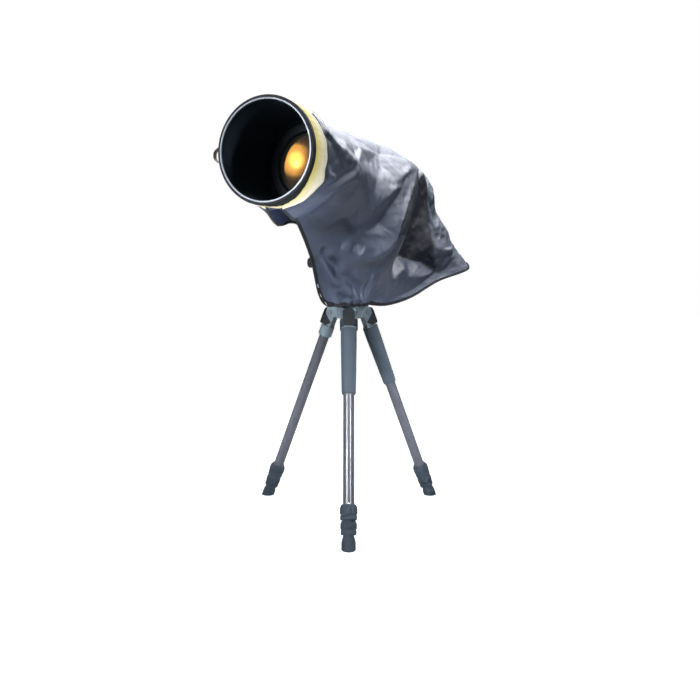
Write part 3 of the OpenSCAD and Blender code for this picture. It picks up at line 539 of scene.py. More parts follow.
# creases of the sheet: (station, column, height in millimetres) along each; the cloth lies flat between them.
# Columns run from the near lower edge, 0, over the ridge, 4, to the far lower edge, 8
CREASES = {
    "roof crease": [(0.06, 2.71, 1.6), (0.46, 2.66, 2.3), (0.39, 2.36, 7.2), (0.96, 2.31, 4.9),
        (1.17, 2.2, 9.6), (1.6, 2.19, 9.2), (2.09, 2.08, 8.5)],
    "front dark": [(0.06, 2.32, -1.5), (0.43, 2.2, -6.7), (0.57, 1.87, -8.9), (0.39, 1.54, 6.2),
        (0.06, 1.3, 11.1)],
    "front pale": [(0.84, 2.29, 4.6), (0.97, 1.97, -3.1), (0.78, 1.53, 1.3)],
    "front dark b": [(1.16, 2.17, 9.8), (1.12, 1.86, 2.2), (1.1, 1.54, -1.2)],
    "thin crease": [(1.6, 2.19, 9.2), (1.37, 1.93, 4.1), (1.2, 1.63, -0.7)],
    "thin dark": [(1.66, 2.04, 11.7), (1.55, 1.86, 5.2), (1.31, 1.63, 1.3)],
    "corner edge": [(2.09, 2.08, 8.5), (1.99, 1.85, 11.7), (2.18, 1.69, 9), (2.55, 1.53, 5)],
    "cuff upper": [(2.09, 2.08, 8.5), (1.6, 1.89, 9), (0.94, 1.46, 7), (0.06, 1.19, 8.2),
        (0.06, 0.76, 0.7)],
    "cuff upper valley": [(1.85, 1.87, 4), (1.57, 1.67, -3), (0.98, 1.3, -5), (0.32, 0.99, -1),
        (0.28, 0.66, 4.5)],
    "cuff lower": [(1.99, 1.85, 11.7), (1.44, 1.38, 8), (0.8, 1.03, 9), (0.77, 0.6, 4)],
    "cuff lower valley": [(2.18, 1.69, 4), (1.8, 1.14, -8), (1.7, 0.67, -6), (1.79, 0.33, 1)],
    "dark side": [(2.23, 1.37, 5.7), (2.07, 1.05, 4.3), (2.08, 0.76, 3.1), (2.2, 0.49, 2.7)],
    "dark side b": [(2.55, 1.53, 5), (2.85, 1.24, 0.9), (2.57, 0.89, 1.9), (2.54, 0.62, 0)],
    "roof front": [(2.15, 3.13, -13.8), (2.68, 2.96, -13.1), (2.74, 2.63, -17.6), (2.09, 2.08, 8.5)],
    "roof long": [(3.56, 3.29, -15.1), (3.18, 2.54, -2.7), (5.93, 3, -20), (6.83, 3.14, -7.3),
        (6.72, 2.75, 9.3)],
    "roof low": [(2.09, 2.08, 8.5), (4.27, 2.44, -20), (5.54, 2.57, -20), (5.86, 2.47, 2), (6.44, 2.54, 3.9)],
    "roof mid": [(2.84, 1.93, 4.3), (4.6, 2.09, -16.7), (5.59, 2.24, -2.5), (6.02, 2.27, 16.5)],
    "fan crest": [(6.7, 2.68, 11), (6.02, 2.27, 16.5), (5.36, 2.05, -2.6), (4.07, 1.75, -13.4),
        (3.24, 1.42, -1.2), (3.08, 1.19, 3.4), (2.93, 0.94, 11.6)],
    "fan valley": [(8.96, 3.24, -19.9), (5.87, 2.1, 8.2), (5.71, 1.85, -1.7), (5.46, 1.62, -10.9),
        (4.96, 1.36, -20), (3.71, 1.04, -12.5)],
    "fan dark": [(5.78, 2.05, 9.2), (4.76, 1.71, -0.8), (4.02, 1.42, -7.7), (3.46, 1.11, -3.2)],
    "band crest": [(7.17, 2.73, 8.4), (6.45, 2.18, 9.8), (5.9, 1.66, 7.2), (5.79, 1.34, 7.4),
        (5.36, 1.25, -2)],
    "pleat edge": [(7.4, 2.76, 8), (6.87, 2.4, 12), (6.41, 1.91, 14), (6.09, 1.42, 15), (5.98, 1.22, 15),
        (5.96, 1.02, 15)],
    "pleat low": [(5.96, 1.02, 15), (6.41, 0.82, -1.7), (6.35, 0.61, 1.2), (6.73, 0.4, 1.9),
        (7.02, 0.23, -2.3)],
    "shelf lip": [(3.71, 1.04, -12.5), (4.82, 1.19, -4), (5.96, 1.02, 15)],
    "shelf under": [(3.82, 1, -10.2), (4.83, 1.13, -2.4), (6.23, 0.95, 8.6)],
    "shelf crest": [(2.88, 0.37, 3), (3.22, 0.54, 5), (3.52, 0.68, 7), (3.94, 0.77, 12), (4.54, 0.85, 17),
        (5.03, 0.94, 21), (5.96, 1.02, 15)],
    "shelf seam": [(3.82, 1, -10.2), (4.07, 0.93, 1.6), (4.22, 0.86, 8.5)],
    "pit edge": [(3.61, 0.98, -8), (3.85, 0.87, -13)],
    "pit": [(2.61, 0.66, -6), (3.03, 0.79, -11), (3.57, 0.88, -16), (3.73, 0.84, -14)],
    "pit left": [(2.56, 0.36, -5), (2.83, 0.49, -9), (3.27, 0.68, -12)],
    "below shelf": [(3.23, 0.36, 2), (3.64, 0.56, 4), (4.05, 0.68, 9), (5.36, 0.68, -6)],
    "below mid": [(3.92, 0.51, 4), (4.5, 0.56, 8), (5.35, 0.54, 2)],
    "left fold": [(3.09, 0.23, 0), (3.5, 0.32, 12), (4.18, 0.41, 14), (4.97, 0.27, 18), (5.72, 0.11, 8)],
    "left inner": [(3.13, 0.32, -10), (3.65, 0.44, -14), (4.22, 0.49, -10), (5.22, 0.31, -6)],
    "front mid": [(2.8, 0.35, 0), (2.99, 0.41, 4), (3.27, 0.45, 6), (3.76, 0.54, 4), (4.5, 0.53, 2)],
    "below low": [(5, 0.42, -2.2), (5.49, 0.37, -2.4)],
    "left outer": [(3.25, 0.2, -6), (3.57, 0.26, -9), (4.09, 0.32, -8), (4.68, 0.19, -6)],
    "neck crest": [(4.54, 0.85, 15.4), (5.68, 0.59, -10), (5.46, 0.5, 8), (7.24, 0.12, -6)],
    "neck valley": [(5.36, 0.68, -16.7), (5.51, 0.46, 5.7), (5.87, 0.2, 1.9)],
    "panel split": [(7.45, 2.53, 3), (8, 2.03, 0), (8.82, 1.57, -5)],
    "panel lip": [(8.2, 1.52, -6), (8.82, 1.57, -5), (9.3, 1.62, 0)],
    "panel low": [(8.54, 1.08, -22), (9.02, 1.04, -25), (9.58, 0.93, -22), (10.03, 0.41, -12)],
    "panel crease": [(8.59, 0.78, 15.7), (8.88, 0.59, 8.9), (9.12, 0.26, -6.7)],
    "panel soft": [(7.1, 0.7, 6.8), (8.02, 0.56, 18.7), (8.42, 0.21, 0.7)],
    "panel soft b": [(7.6, 0.62, 11.5), (7.74, 0.42, 8.5), (7.77, 0.18, 1)],
    "flap edge": [(8.32, 2.78, 7), (9, 2.27, 10), (9.52, 1.82, 7), (9.89, 1.29, 4), (10.05, 0.54, -6)],
    "flap a": [(9, 2.27, 10), (11, 1.95, -8.3), (10.91, 1.32, 0.5)],
    "flap b": [(9.52, 1.82, 7), (10.5, 1.68, 4.7), (10.91, 1.32, 0.5)],
    "flap c": [(9.76, 1.84, 8.3), (10.31, 1.51, 1.4), (10.46, 1, -1.6)],
    "flap d": [(9.89, 1.29, 4), (10.26, 1.05, 5.9), (10.57, 0.9, 6.1)],
    "flap e": [(10.91, 0.87, -6.2), (10.58, 0.67, -1.5), (10.69, 0.32, -2.7)],
    "flap f": [(10.21, 0.79, -1.8), (10.45, 0.47, -5.8)],
    "far corner crest": [(7.1, 5.2, 8), (6.3, 5.6, 13), (4.9, 6, 13), (3.9, 6.5, 6)],
    "far corner valley": [(6.7, 5.75, -8), (5.4, 6.25, -14), (4.5, 6.6, -9)],
    "far side fold": [(0.4, 6.7, 3), (1.3, 6.35, 8), (2.4, 6, 8)],
    "far side dip": [(0.4, 7.1, -3), (1.4, 6.75, -7), (2.7, 6.4, -6)],
    "far roof": [(1.2, 5.3, 5), (3, 5.25, 3), (5, 5.1, 4)],
    "far roof dip": [(2, 5.6, -4), (4, 5.55, -5), (5.8, 5.4, -4)],
    "far lip": [(4.2, 7, 4), (5.4, 6.9, 9), (6.5, 7, 7)],
    "far under": [(4.4, 7.25, -4), (5.5, 7.2, -6), (6.4, 7.3, -6)],
    "far neck": [(5.4, 7.5, 7), (5.9, 7.75, 6)],
    "far pleat": [(7.1, 6.2, 6), (7, 7, 8), (6.9, 7.7, 4)],
    "far recess": [(8, 6.3, -4), (8, 7, -6), (8, 7.6, -3)],
    "far flap": [(10.2, 6.4, 4), (10.7, 6.8, 10), (11.1, 7.5, 5)],
    "far flap dip": [(10.3, 6.9, -5), (10.8, 7.25, -8), (11.2, 7.75, -4)],
    "back near": [(11.3, 2.6, 6), (12.2, 2.7, 12), (12.8, 2.6, 8)],
    "back dip": [(11.3, 3.4, -6), (12.2, 3.5, -12), (12.8, 3.5, -9)],
    "back middle": [(11.3, 4.3, 6), (12.2, 4.2, 12), (12.8, 4.3, 8)],
    "back dip far": [(11.3, 5, -6), (12.2, 5, -10), (12.8, 5.1, -7)],
    "back far": [(11.3, 5.7, 5), (12.2, 5.8, 10), (12.8, 5.7, 7)],
    "back edge": [(11.6, 1.6, -6), (12.2, 1.5, -8), (12.7, 1.6, -4)],
    "ridge": [(1, 4, 0), (3, 4, 2), (5, 4, -1), (7, 4, 2), (9, 4, 0)],
}

# outline of the painted shade in the recess behind the near pleat, by station and column
PAINTED_SHADE_OUTLINE = [(7.4, 2.76), (6.87, 2.4), (6.41, 1.91), (6.09, 1.42), (5.98, 1.22), (5.96, 1.02), (8.54, 1.08),
          (9.02, 1.04), (9.58, 0.93), (10.03, 0.5), (9.89, 1.29), (9.52, 1.82), (9.0, 2.27), (8.32, 2.78)]
# solids that hold the sheet up; in millimetres, how far out and in from the smooth sheet they are sought,
# how far they are cleared, and how much the cloth falls from step to step beside them, over so many steps
UNDER = ("lens_hood", "hood_knob", "lens_barrel", "focus_ring", "lens_collar", "collar_knob", "lens_foot",
         "camera_body", "mode_dial", "shutter_button", "eyecup", "clamp_knob", "clamp_base", "quick_plate",
         "tilt_cradle", "pan_housing")
OUTSIDE, INSIDE, CLEAR, FALL, FALL_STEPS = 8.0, 45.0, 3.0, 2.5, 4
# height that stands for nothing underneath
NO_SOLID = -99.0
# what one making step leaves for the next
KEPT = {}


def curve_at(points, t):
    """Smooth curve through the first axis of points, at each t counted in points."""
    points = np.asarray(points, float)
    last = len(points) - 1
    i = np.clip(np.floor(t).astype(int), 0, last - 1)
    f = (t - i).reshape((-1,) + (1,) * (points.ndim - 1))
    a, b = points[np.maximum(i - 1, 0)], points[i]
    c, d = points[np.minimum(i + 1, last)], points[np.minimum(i + 2, last)]
    return (b + (c - a) * f / 2 + (2 * a - 5 * b + 4 * c - d) * f**2 / 2
            + (3 * b - a - 3 * c + d) * f**3 / 2)


def cover_cage():
    """Control points of the sheet: stations by nine columns."""
    rows = []
    for i, near in enumerate(STATIONS):
        far = [(-x, y, z) for x, y, z in near[3::-1]]
        if i < len(FAR_EDGE):
            far[3] = FAR_EDGE[i]
        far[2] = FAR_WAIST.get(i, far[2])
        rows.append(list(near) + far)
    return np.array(rows, float)


def sheet_points(along, round_):
    """Points of the sheet at these stations and columns, in millimetres."""
    rows = curve_at(cover_cage(), along)
    return np.swapaxes(curve_at(np.swapaxes(rows, 0, 1), round_), 0, 1)


def steps(counts):
    """Parameter values that split each span into that many steps."""
    return np.array([k + s / n for k, n in enumerate(counts) for s in range(n)] + [len(counts)])


def sheet_normals(points):
    """Unit normals of a grid of points, outwards."""
    along, round_ = np.gradient(points, axis=0), np.gradient(points, axis=1)
    normal = np.cross(along, round_)
    return normal / np.maximum(np.linalg.norm(normal, axis=2, keepdims=True), 1e-9)


def crease_net():
    """Corners and triangles of the net that the creases divide the sheet into; its rim stays in place."""
    corners, edges = [], []
    for line in CREASES.values():
        first = len(corners)
        corners += line
        edges += [(first + k, first + k + 1) for k in range(len(line) - 1)]
    last, across = len(STEPS_ALONG), len(STEPS_ROUND)
    corners += [(s / 2, c, 0) for s in range(2 * last + 1) for c in (0, across)]
    corners += [(s, c / 2, 0) for c in range(1, 2 * across) for s in (0, last)]
    flat = [Vector((s * SPAN_ALONG, c * SPAN_ROUND)) for s, c, _ in corners]
    spots, _, triangles, origin, _, _ = delaunay_2d_cdt(flat, edges, [], 0, 1e-4)
    spots = np.array([list(p) for p in spots])
    known = np.array([list(p) for p in flat])
    heights = np.array([float(h) for _, _, h in corners])
    rise = np.empty(len(spots))
    for k, from_ in enumerate(origin):
        if from_:
            rise[k] = heights[from_[0]]
        else:
            # two creases cross here
            gap = np.linalg.norm(known - spots[k], axis=1)
            near = gap.argsort()[:2]
            rise[k] = np.average(heights[near], weights=1 / np.maximum(gap[near], 1e-6))
    return spots, rise, triangles


def fold_heights(along, round_):
    """Height of the creased cloth at each point of the sheet, in millimetres."""
    spots, rise, triangles = crease_net()
    flat = np.stack(np.meshgrid(along * SPAN_ALONG, round_ * SPAN_ROUND, indexing="ij"), -1).reshape(-1, 2)
    height = np.zeros(len(flat))
    for a, b, c in triangles:
        corner, sides = spots[a], np.stack([spots[b] - spots[a], spots[c] - spots[a]], 1)
        if abs(np.linalg.det(sides)) < 1e-9:
            continue
        low, high = spots[[a, b, c]].min(0) - 1e-6, spots[[a, b, c]].max(0) + 1e-6
        near = np.where(((flat >= low) & (flat <= high)).all(1))[0]
        part = (np.linalg.inv(sides) @ (flat[near] - corner).T).T
        inside = (part >= -1e-6).all(1) & (part.sum(1) <= 1 + 1e-6)
        u, v = part[inside, 0], part[inside, 1]
        height[near[inside]] = rise[a] * (1 - u - v) + rise[b] * u + rise[c] * v
    height = np.pad(height.reshape(len(along), len(round_)), 1, mode="edge")
    # a crease in coated cloth is a few millimetres round
    height = (height[:-2] + 2 * height[1:-1] + height[2:]) / 4
    return (height[:, :-2] + 2 * height[:, 1:-1] + height[:, 2:]) / 4


def small_creases(points, along):
    """Short creases all over, deeper on the loose flap."""
    flat = points.reshape(-1, 3)
    out = np.empty(len(flat))
    # two noises, 15 to 52 mm from crest to crest, each folded into sharp ridges
    for k, (x, y, z) in enumerate(flat):
        a = noise.noise(Vector((x / 34, (y + z) / 52, (y - z) / 21)))
        b = noise.noise(Vector((x / 15 + 7, (y - 0.6 * z) / 17, (z + 0.5 * y) / 34)))
        out[k] = (1 - 2 * abs(a)) * 0.65 + (1 - 2 * abs(b)) * 0.35
    out = out.reshape(points.shape[:2])
    # the flap lies between stations 9.4 and 12.2
    flap = np.clip(along - 9.4, 0, 1) * np.clip(12.2 - along, 0, 1)
    return out * (1 + 0.9 * flap[:, None])


def gathers(points):
    """Soft upright pleats where the cover is drawn in round the neck."""
    x, y, z = points[..., 0], points[..., 1], points[..., 2]
    turn = np.arctan2(y, x)
    # they start 205 mm below the lens axis and 120 mm from the tripod axis
    low = np.clip((-205 - z) / 80, 0, 1)
    close = np.clip((120 - np.hypot(x, y)) / 60, 0, 1)
    return low**1.5 * close * (3.2 * np.sin(turn * 19) + 1.8 * np.sin(turn * 31 + 1.0))


def to_model(points):
    """Metres in the model from millimetres about the lens axis."""
    return np.asarray(points) * MM + np.array([0, 0, AXIS])


def least_heights(base, normal):
    """How far out of the smooth sheet the cloth must lie, at each point, to clear what is under it."""
    under = bmesh.new()
    for node in UNDER:
        under.from_mesh(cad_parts[node].data)
    # the hood's knob swings round to the far side as the lens rolls in its collar
    axle = Matrix.Translation((0, 0, AXIS))
    for turn in range(10, 91, 10):
        first = len(under.verts)
        under.from_mesh(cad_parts["hood_knob"].data)
        under.verts.ensure_lookup_table()
        swing = axle @ Matrix.Rotation(math.radians(-turn), 4, "Y") @ axle.inverted()
        bmesh.ops.transform(under, matrix=swing, verts=under.verts[first:])
    solid = BVHTree.FromBMesh(under)
    under.free()
    need = np.full(base.shape[:2], NO_SOLID)
    start = to_model(base + normal * OUTSIDE)
    for i, j in np.ndindex(*need.shape):
        spot, _, _, gap = solid.ray_cast(Vector(start[i, j]), Vector(-normal[i, j]), (OUTSIDE + INSIDE) * MM)
        if spot is not None:
            need[i, j] = OUTSIDE - gap / MM + CLEAR
    # the cloth spans from one high place to the next
    for _ in range(FALL_STEPS):
        tall = np.pad(need, 1, mode="edge")
        beside = [tall[:-2, 1:-1], tall[2:, 1:-1], tall[1:-1, :-2], tall[1:-1, 2:]]
        need = np.maximum(need, np.maximum.reduce(beside) - FALL)
    return need


def cover_sheet(sizes):
    """The draped sheet as a grid of points in millimetres from the tripod axis and the lens axis."""
    along, round_ = steps(STEPS_ALONG), steps(STEPS_ROUND)
    base = sheet_points(along, round_)
    normal = sheet_normals(base)
    rise = fold_heights(along, round_) * sizes.folds + gathers(base)
    rise += small_creases(base, along) * (sizes.crumple / MM)
    # the front edge is held by the cuff, and the folds grow over the next fifth of a station
    rise *= np.clip((along - 0.02) / 0.2, 0, 1)[:, None]
    rise = np.maximum(rise, least_heights(base, normal))
    return base + normal * rise[..., None]


def painted_shade_mask():
    """One where shade is painted in the recess behind the near pleat, nought elsewhere, at each point of the
    sheet.
    """
    station, column = np.meshgrid(steps(STEPS_ALONG), steps(STEPS_ROUND), indexing="ij")
    inside = np.zeros(station.shape, bool)
    for (s0, c0), (s1, c1) in zip(PAINTED_SHADE_OUTLINE, PAINTED_SHADE_OUTLINE[1:] + PAINTED_SHADE_OUTLINE[:1]):
        cross = (c0 > column) != (c1 > column)
        inside ^= cross & (station < (s1 - s0) * (column - c0) / (c1 - c0 + 1e-12) + s0)
    return inside.astype(float)


def thicken(obj, name, thickness):
    """Gives a sheet its thickness, half to each side."""
    solid = obj.modifiers.new(name, "SOLIDIFY")
    solid.thickness, solid.offset = thickness, 0.0
    return solid


# making steps


class COVERCAM_OT_rain_cover(bpy.types.Operator):
    """Makes the draped rain cover"""

    bl_idname = "covercam.rain_cover"
    bl_label = "Rain cover"

    def execute(self, context):
        sizes, colours = context.scene.cover_sizes, context.scene.cover_colours
        grid = cover_sheet(sizes)
        obj = piece("rain_cover_cloth", to_model(grid).reshape(-1, 3), grid_faces(*grid.shape[:2]),
                    coated_nylon("coated nylon", colours.nylon))
        weld(obj)
        mesh = obj.data
        area = sum(p.area for p in mesh.polygons)
        # painted shade: one marks the recess behind the near pleat, where the cloth is drawn darker
        painted_shade_layer = mesh.attributes.new("painted_shade", "FLOAT", "POINT")
        painted_shade_layer.data.foreach_set("value", painted_shade_mask().ravel())
        thicken(obj, "Cloth", sizes.cloth).material_offset = 1
        # the inside of the cloth is a paler copy of the nylon: partly its paler uncoated side, partly painted
        # light where the inner faces get little light
        mesh.materials.append(coated_nylon("nylon lining with painted light", shade(colours.nylon, 3.2)))
        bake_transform(obj)
        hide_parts("rain_cover")
        KEPT.update(grid=grid, cloth=obj, area=area)
        return {"FINISHED"}


# the trim, in metres: gap from cloth to hem and from hem to stitches, thread radius, reflective tabs
HEM_GAP, SEAM_GAP, THREAD_R = 0.0006, 0.0008, 0.00035
TABS = {"Pitch": 0.021, "Radius": 0.0011, "Length": 0.009}
# width of the hem and place of the front seam in steps of the sheet; first and last station of the tabs
HEM_STEPS, FRONT_SEAM, TAB_SPAN = 3, 4, (3.55, 4.15)


class COVERCAM_OT_cover_trim(bpy.types.Operator):
    """Binds the cover's edges and sews its seams"""

    bl_idname = "covercam.cover_trim"
    bl_label = "Binding and stitches"

    def execute(self, context):
        sizes, colours = context.scene.cover_sizes, context.scene.cover_colours
        grid, normal = to_model(KEPT["grid"]), sheet_normals(KEPT["grid"])
        tape = bound_tape("polyester binding", colours.binding)
        edge = np.concatenate([grid[:, 0], grid[-1, 1:], grid[-2::-1, -1]])
        bind = grown("cover_binding", bead_tree(), {"Radius": sizes.binding, "Material": tape}, edge)
        # hem: the edge turned over and sewn down
        rows, cols = grid.shape[:2]
        hem = [face for face in grid_faces(rows, cols) if min(v % cols for v in face) < HEM_STEPS
               or max(v % cols for v in face) > cols - HEM_STEPS or max(face) >= (rows - HEM_STEPS) * cols]
        band = piece("cover_hem", (grid + normal * (sizes.cloth + HEM_GAP)).reshape(-1, 3), hem, tape)
        used = bmesh.new()
        used.from_mesh(band.data)
        bmesh.ops.delete(used, geom=[v for v in used.verts if not v.link_faces], context="VERTS")
        used.to_mesh(band.data)
        used.free()
        thicken(band, "Cloth", sizes.cloth)
        trim = [bind, band]
        lift = grid + normal * (2 * sizes.cloth + SEAM_GAP)
        # short reflective tabs along the front edge above the neck
        first, last = (int(np.searchsorted(steps(STEPS_ALONG), s)) for s in TAB_SPAN)
        tabs = anodised_alloy("reflective tape", linear("#f4f5f7"), 0.5)
        trim.append(grown("cover_tabs", stitch_tree(), {**TABS, "Material": tabs}, lift[first:last, 1]))
        thread = {"Pitch": sizes.stitch, "Radius": THREAD_R, "Length": sizes.stitch * 0.66,
                  "Material": bound_tape("sewing thread", shade(colours.binding, 1.8))}
        seams = {"hem": np.concatenate([lift[:-2, 2], lift[-3, 2:-2], lift[-3::-1, -2]]),
                 "front": lift[FRONT_SEAM, 3:-3]}
        for key, line in seams.items():
            trim.append(grown("cover_stitches_" + key, stitch_tree(), thread, line))
        for obj in trim:
            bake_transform(obj)
        return {"FINISHED"}


# the cuff, in metres: gap to the hood, set-back of its front edge underneath, lap over the cover and depth
# of its tongue; gap to the cover, knit and webbing thickness, how far the slack strap loop stands off
CUFF_GAP, SET_BACK, LAP, TONGUE = 0.0012, 0.020, 0.004, 0.072
COVER_GAP, KNIT, WEBBING, STRAP_BOW = 0.0016, 0.0009, 0.0012, 0.021
# the cover is sought from this radius inwards, over this depth
SEEK_R, SEEK_DEPTH = 0.16, 0.07
# the tongue's narrowing: degrees off the top, and share of its depth that is lost there
TONGUE_SIDES = (25, 28, 39, 45), (0, 0.1, 0.65, 1)
CUFF_ROUND, CUFF_LONG, STRAP_LONG = 240, 30, 40


def cuff_points(front, back):
    """Rings of the cuff from its front edge back over the cover."""
    grid = KEPT["grid"]
    cloth = BVHTree.FromPolygons(to_model(grid).reshape(-1, 3).tolist(), grid_faces(*grid.shape[:2]))
    points = []
    for i in range(CUFF_LONG + 1):
        for k in range(CUFF_ROUND):
            a = 2 * math.pi * k / CUFF_ROUND
            # a tongue of the cuff lies back over the cover along the top
            tongue = TONGUE * (1 - np.interp(abs(math.degrees(a) - 90), *TONGUE_SIDES))
            # the front edge sits further back underneath, where the hood's wall shows
            edge = front + SET_BACK * max(0.0, -math.sin(a)) ** 3
            y = edge + (back - edge + LAP + tongue) * i / CUFF_LONG
            t = min((y - front) / (back - front), 1)
            # the band swells, flares towards its back edge and is finely gathered
            swell = 0.0016 * math.sin(math.pi * min(1, t * 1.2)) + 0.0042 * max(0, t - 0.35) ** 1.4
            ruffle = 0.00035 * math.sin(46 * a + 2 * math.sin(3 * a)) + 0.0003 * math.sin(17 * a)
            r = HOOD_R + CUFF_GAP + swell + ruffle * math.sin(math.pi * (0.15 + 0.85 * t))
            out = Vector((math.cos(a), 0, math.sin(a)))
            _, _, _, gap = cloth.ray_cast(Vector((0, y, AXIS)) + out * SEEK_R, -out, SEEK_DEPTH)
            if gap is not None:
                r = max(r, SEEK_R - gap + COVER_GAP)
            points.append((r * out.x, y, AXIS + r * out.z))
    return points


class COVERCAM_OT_cuff(bpy.types.Operator):
    """Makes the elastic cuff on the hood and its strap loop"""

    bl_idname = "covercam.cuff"
    bl_label = "Cuff and strap"

    def execute(self, context):
        colours = context.scene.cover_colours
        low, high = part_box("cover_cuff")
        front, back = low[1], high[1]
        knit = elastic_knit("knitted elastic with painted glow", colours.cuff, linear("#f8f4de"), front, back)
        band = piece("cuff_band", cuff_points(front, back), grid_faces(CUFF_LONG + 1, CUFF_ROUND, True), knit)
        weld(band)
        thicken(band, "Knit", KNIT)
        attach(band, "tilt")
        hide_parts("cover_cuff")
        # strap loop: a flat band bowed out from the cuff, its ends sewn down
        low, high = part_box("cuff_strap")
        x0, mid, half = high[0], (low[2] + high[2]) / 2, (high[2] - low[2]) / 2
        path = []
        for k in range(STRAP_LONG + 1):
            s = -1 + 2 * k / STRAP_LONG
            bow = (STRAP_BOW - 0.0016) * max(0.0, 1 - abs(s) ** 2.6)
            path.append((x0 - WEBBING / 2 - bow, mid + half * 0.97 * s))
        # the webbing is narrower than its solid, which leaves the loop open
        wide = (high[1] - low[1]) * 0.64
        across = (0, 0.06, 0.5, 0.94, 1)
        points = [(x, low[1] + wide * t, z) for x, z in path for t in across]
        strap = piece("cuff_strap_webbing", points, grid_faces(len(path), len(across)),
                      webbing("nylon webbing", colours.webbing))
        weld(strap)
        thicken(strap, "Weave", WEBBING)
        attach(strap, "tilt")
        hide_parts("cuff_strap")
        return {"FINISHED"}


# front glass: radii of its two curves in metres, rings from middle to rim, steps round
CURVE_FRONT, CURVE_BACK, GLASS_RINGS, GLASS_ROUND = 0.600, 0.300, 24, 96
# a radius that weld closes to a point
POLE = 1e-7


def sag(curve, radius):
    """Depth of a curve of that radius at a distance from its middle."""
    return curve - math.sqrt(curve * curve - radius * radius)


class COVERCAM_OT_front_glass(bpy.types.Operator):
    """Makes the front element with its amber coating"""

    bl_idname = "covercam.front_glass"
    bl_label = "Front glass"

    def execute(self, context):
        low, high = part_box("front_element")
        radius = (high[0] - low[0]) / 2
        first, last = low[1] - FRONT, high[1] - FRONT
        ring = [radius * k / GLASS_RINGS for k in range(GLASS_RINGS + 1)]
        dome = [(max(r, POLE), first + sag(CURVE_FRONT, r)) for r in ring]
        bowl = [(max(r, POLE), last - sag(CURVE_BACK, r)) for r in reversed(ring)]
        glass = turned("front_glass", dome + bowl, GLASS_ROUND, lens_place(), clear_glass("bloomed glass"),
                       "lens")
        amber = shade(context.scene.optics_finish.coating, 0.08)
        glass.data.materials.append(coated_glass("amber coated glass", amber))
        glass.data.materials.append(moulded_plastic("blackened glass edge", linear("#0c0e10"), 0.6))
        for face in glass.data.polygons:
            face.material_index = 1 if face.normal[1] > 0.5 else 0 if face.normal[1] < -0.5 else 2
        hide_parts("front_element")
        return {"FINISHED"}


# twist locks: radius, and both ends of the ribs as distances down the leg from its hinge, in metres
LOCKS = {"upper_lock": (0.0187, 0.4598, 0.4468), "lower_lock": (0.0174, 0.4912, 0.4800)}
# share of a rib's width that is sunk in the lock
RIB_SUNK = 0.18
# stop rivet: distance down the leg, depth in the tube, and (radius, height) pairs
RIVET_DOWN, RIVET_SUNK = 0.4385, 0.0003
RIVET = [(POLE, -0.0004), (0.0026, -0.0004), (0.0026, 0.0003), (0.0019, 0.0009), (POLE, 0.0012)]


class COVERCAM_OT_lock_ribs(bpy.types.Operator):
    """Adds the moulded ribs of the twist locks and the stop rivets above them"""

    bl_idname = "covercam.lock_ribs"
    bl_label = "Twist lock ribs"

    def execute(self, context):
        stand = context.scene.stand_finish
        rubber = moulded_rubber("ribbed rubber", stand.rubber)
        rivet = turned_metal("polished rivet", linear("#e6e2d6"), 0.16)
        tree = rib_tree()
        for leg in LEGS:
            for lock, (radius, low, high) in LOCKS.items():
                place = leg_place(leg) @ Matrix.Translation((0, 0, -(low + high) / 2))
                values = {"Count": stand.ribs, "Radius": radius - stand.rib * RIB_SUNK, "Length": low - high,
                          "Width": stand.rib, "Material": rubber}
                obj = grown(f"{lock}_ribs_{leg}", tree, values, place=place)
                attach(obj, f"{lock}_{leg}")
            # stop rivet on the outer side of the tube, just above its lock
            place = (leg_place(leg) @ Matrix.Translation((TUBE_R - RIVET_SUNK, 0, -RIVET_DOWN))
                     @ Matrix.Rotation(math.pi / 2, 4, "Y"))
            turned(f"stop_rivet_{leg}", RIVET, 24, place, rivet, f"leg_{leg}")
        return {"FINISHED"}


# angle stop tab, in millimetres in the leg's own frame: outlines of its side plates and its outer cap,
# and the axis along which each is thick, from where to where
PLATE = [(-11, -24), (2, -35.4), (17.6, -26), (17.6, -16), (9, -10)]
CAP = [(-11.5, -35.6), (11.5, -35.6), (14.3, -31), (14.3, -2), (11.5, 3.5), (6, 6), (-6, 6), (-11.5, 3.5),
       (-14.3, -2), (-14.3, -31)]
TAB_PARTS = ((PLATE, "y", 11.06, 14.3), (PLATE, "y", -14.3, -11.06), (CAP, "x", 14.6, 18.0))
TAB_EDGE = 0.0007


class COVERCAM_OT_latch_tabs(bpy.types.Operator):
    """Adds the moulded tab of each leg's angle stop"""

    bl_idname = "covercam.latch_tabs"
    bl_label = "Angle stop tabs"

    def execute(self, context):
        nylon = moulded_plastic("latch nylon", linear("#1b2027"))
        points, faces = [], []
        for outline, flat, low, high in TAB_PARTS:
            first, count = len(points), len(outline)
            for deep in (low, high):
                points += [Vector((u, deep, v) if flat == "y" else (deep, u, v)) * MM for u, v in outline]
            faces += [tuple(range(first, first + count)), tuple(range(first + count, first + 2 * count))]
            faces += [(first + k, first + (k + 1) % count, first + count + (k + 1) % count, first + count + k)
                      for k in range(count)]
        for leg in LEGS:
            place = leg_place(leg)
            tab = piece(f"latch_tab_{leg}", [place @ p for p in points], faces, nylon, False)
            weld(tab)
            edge = tab.modifiers.new("Moulded edge", "BEVEL")
            edge.width, edge.segments, edge.limit_method = TAB_EDGE, 2, "ANGLE"
            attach(tab, f"latch_{leg}")
        return {"FINISHED"}


def each(*parts):
    """Names of those parts on every leg."""
    return [f"{part}_{leg}" for part in parts for leg in LEGS]


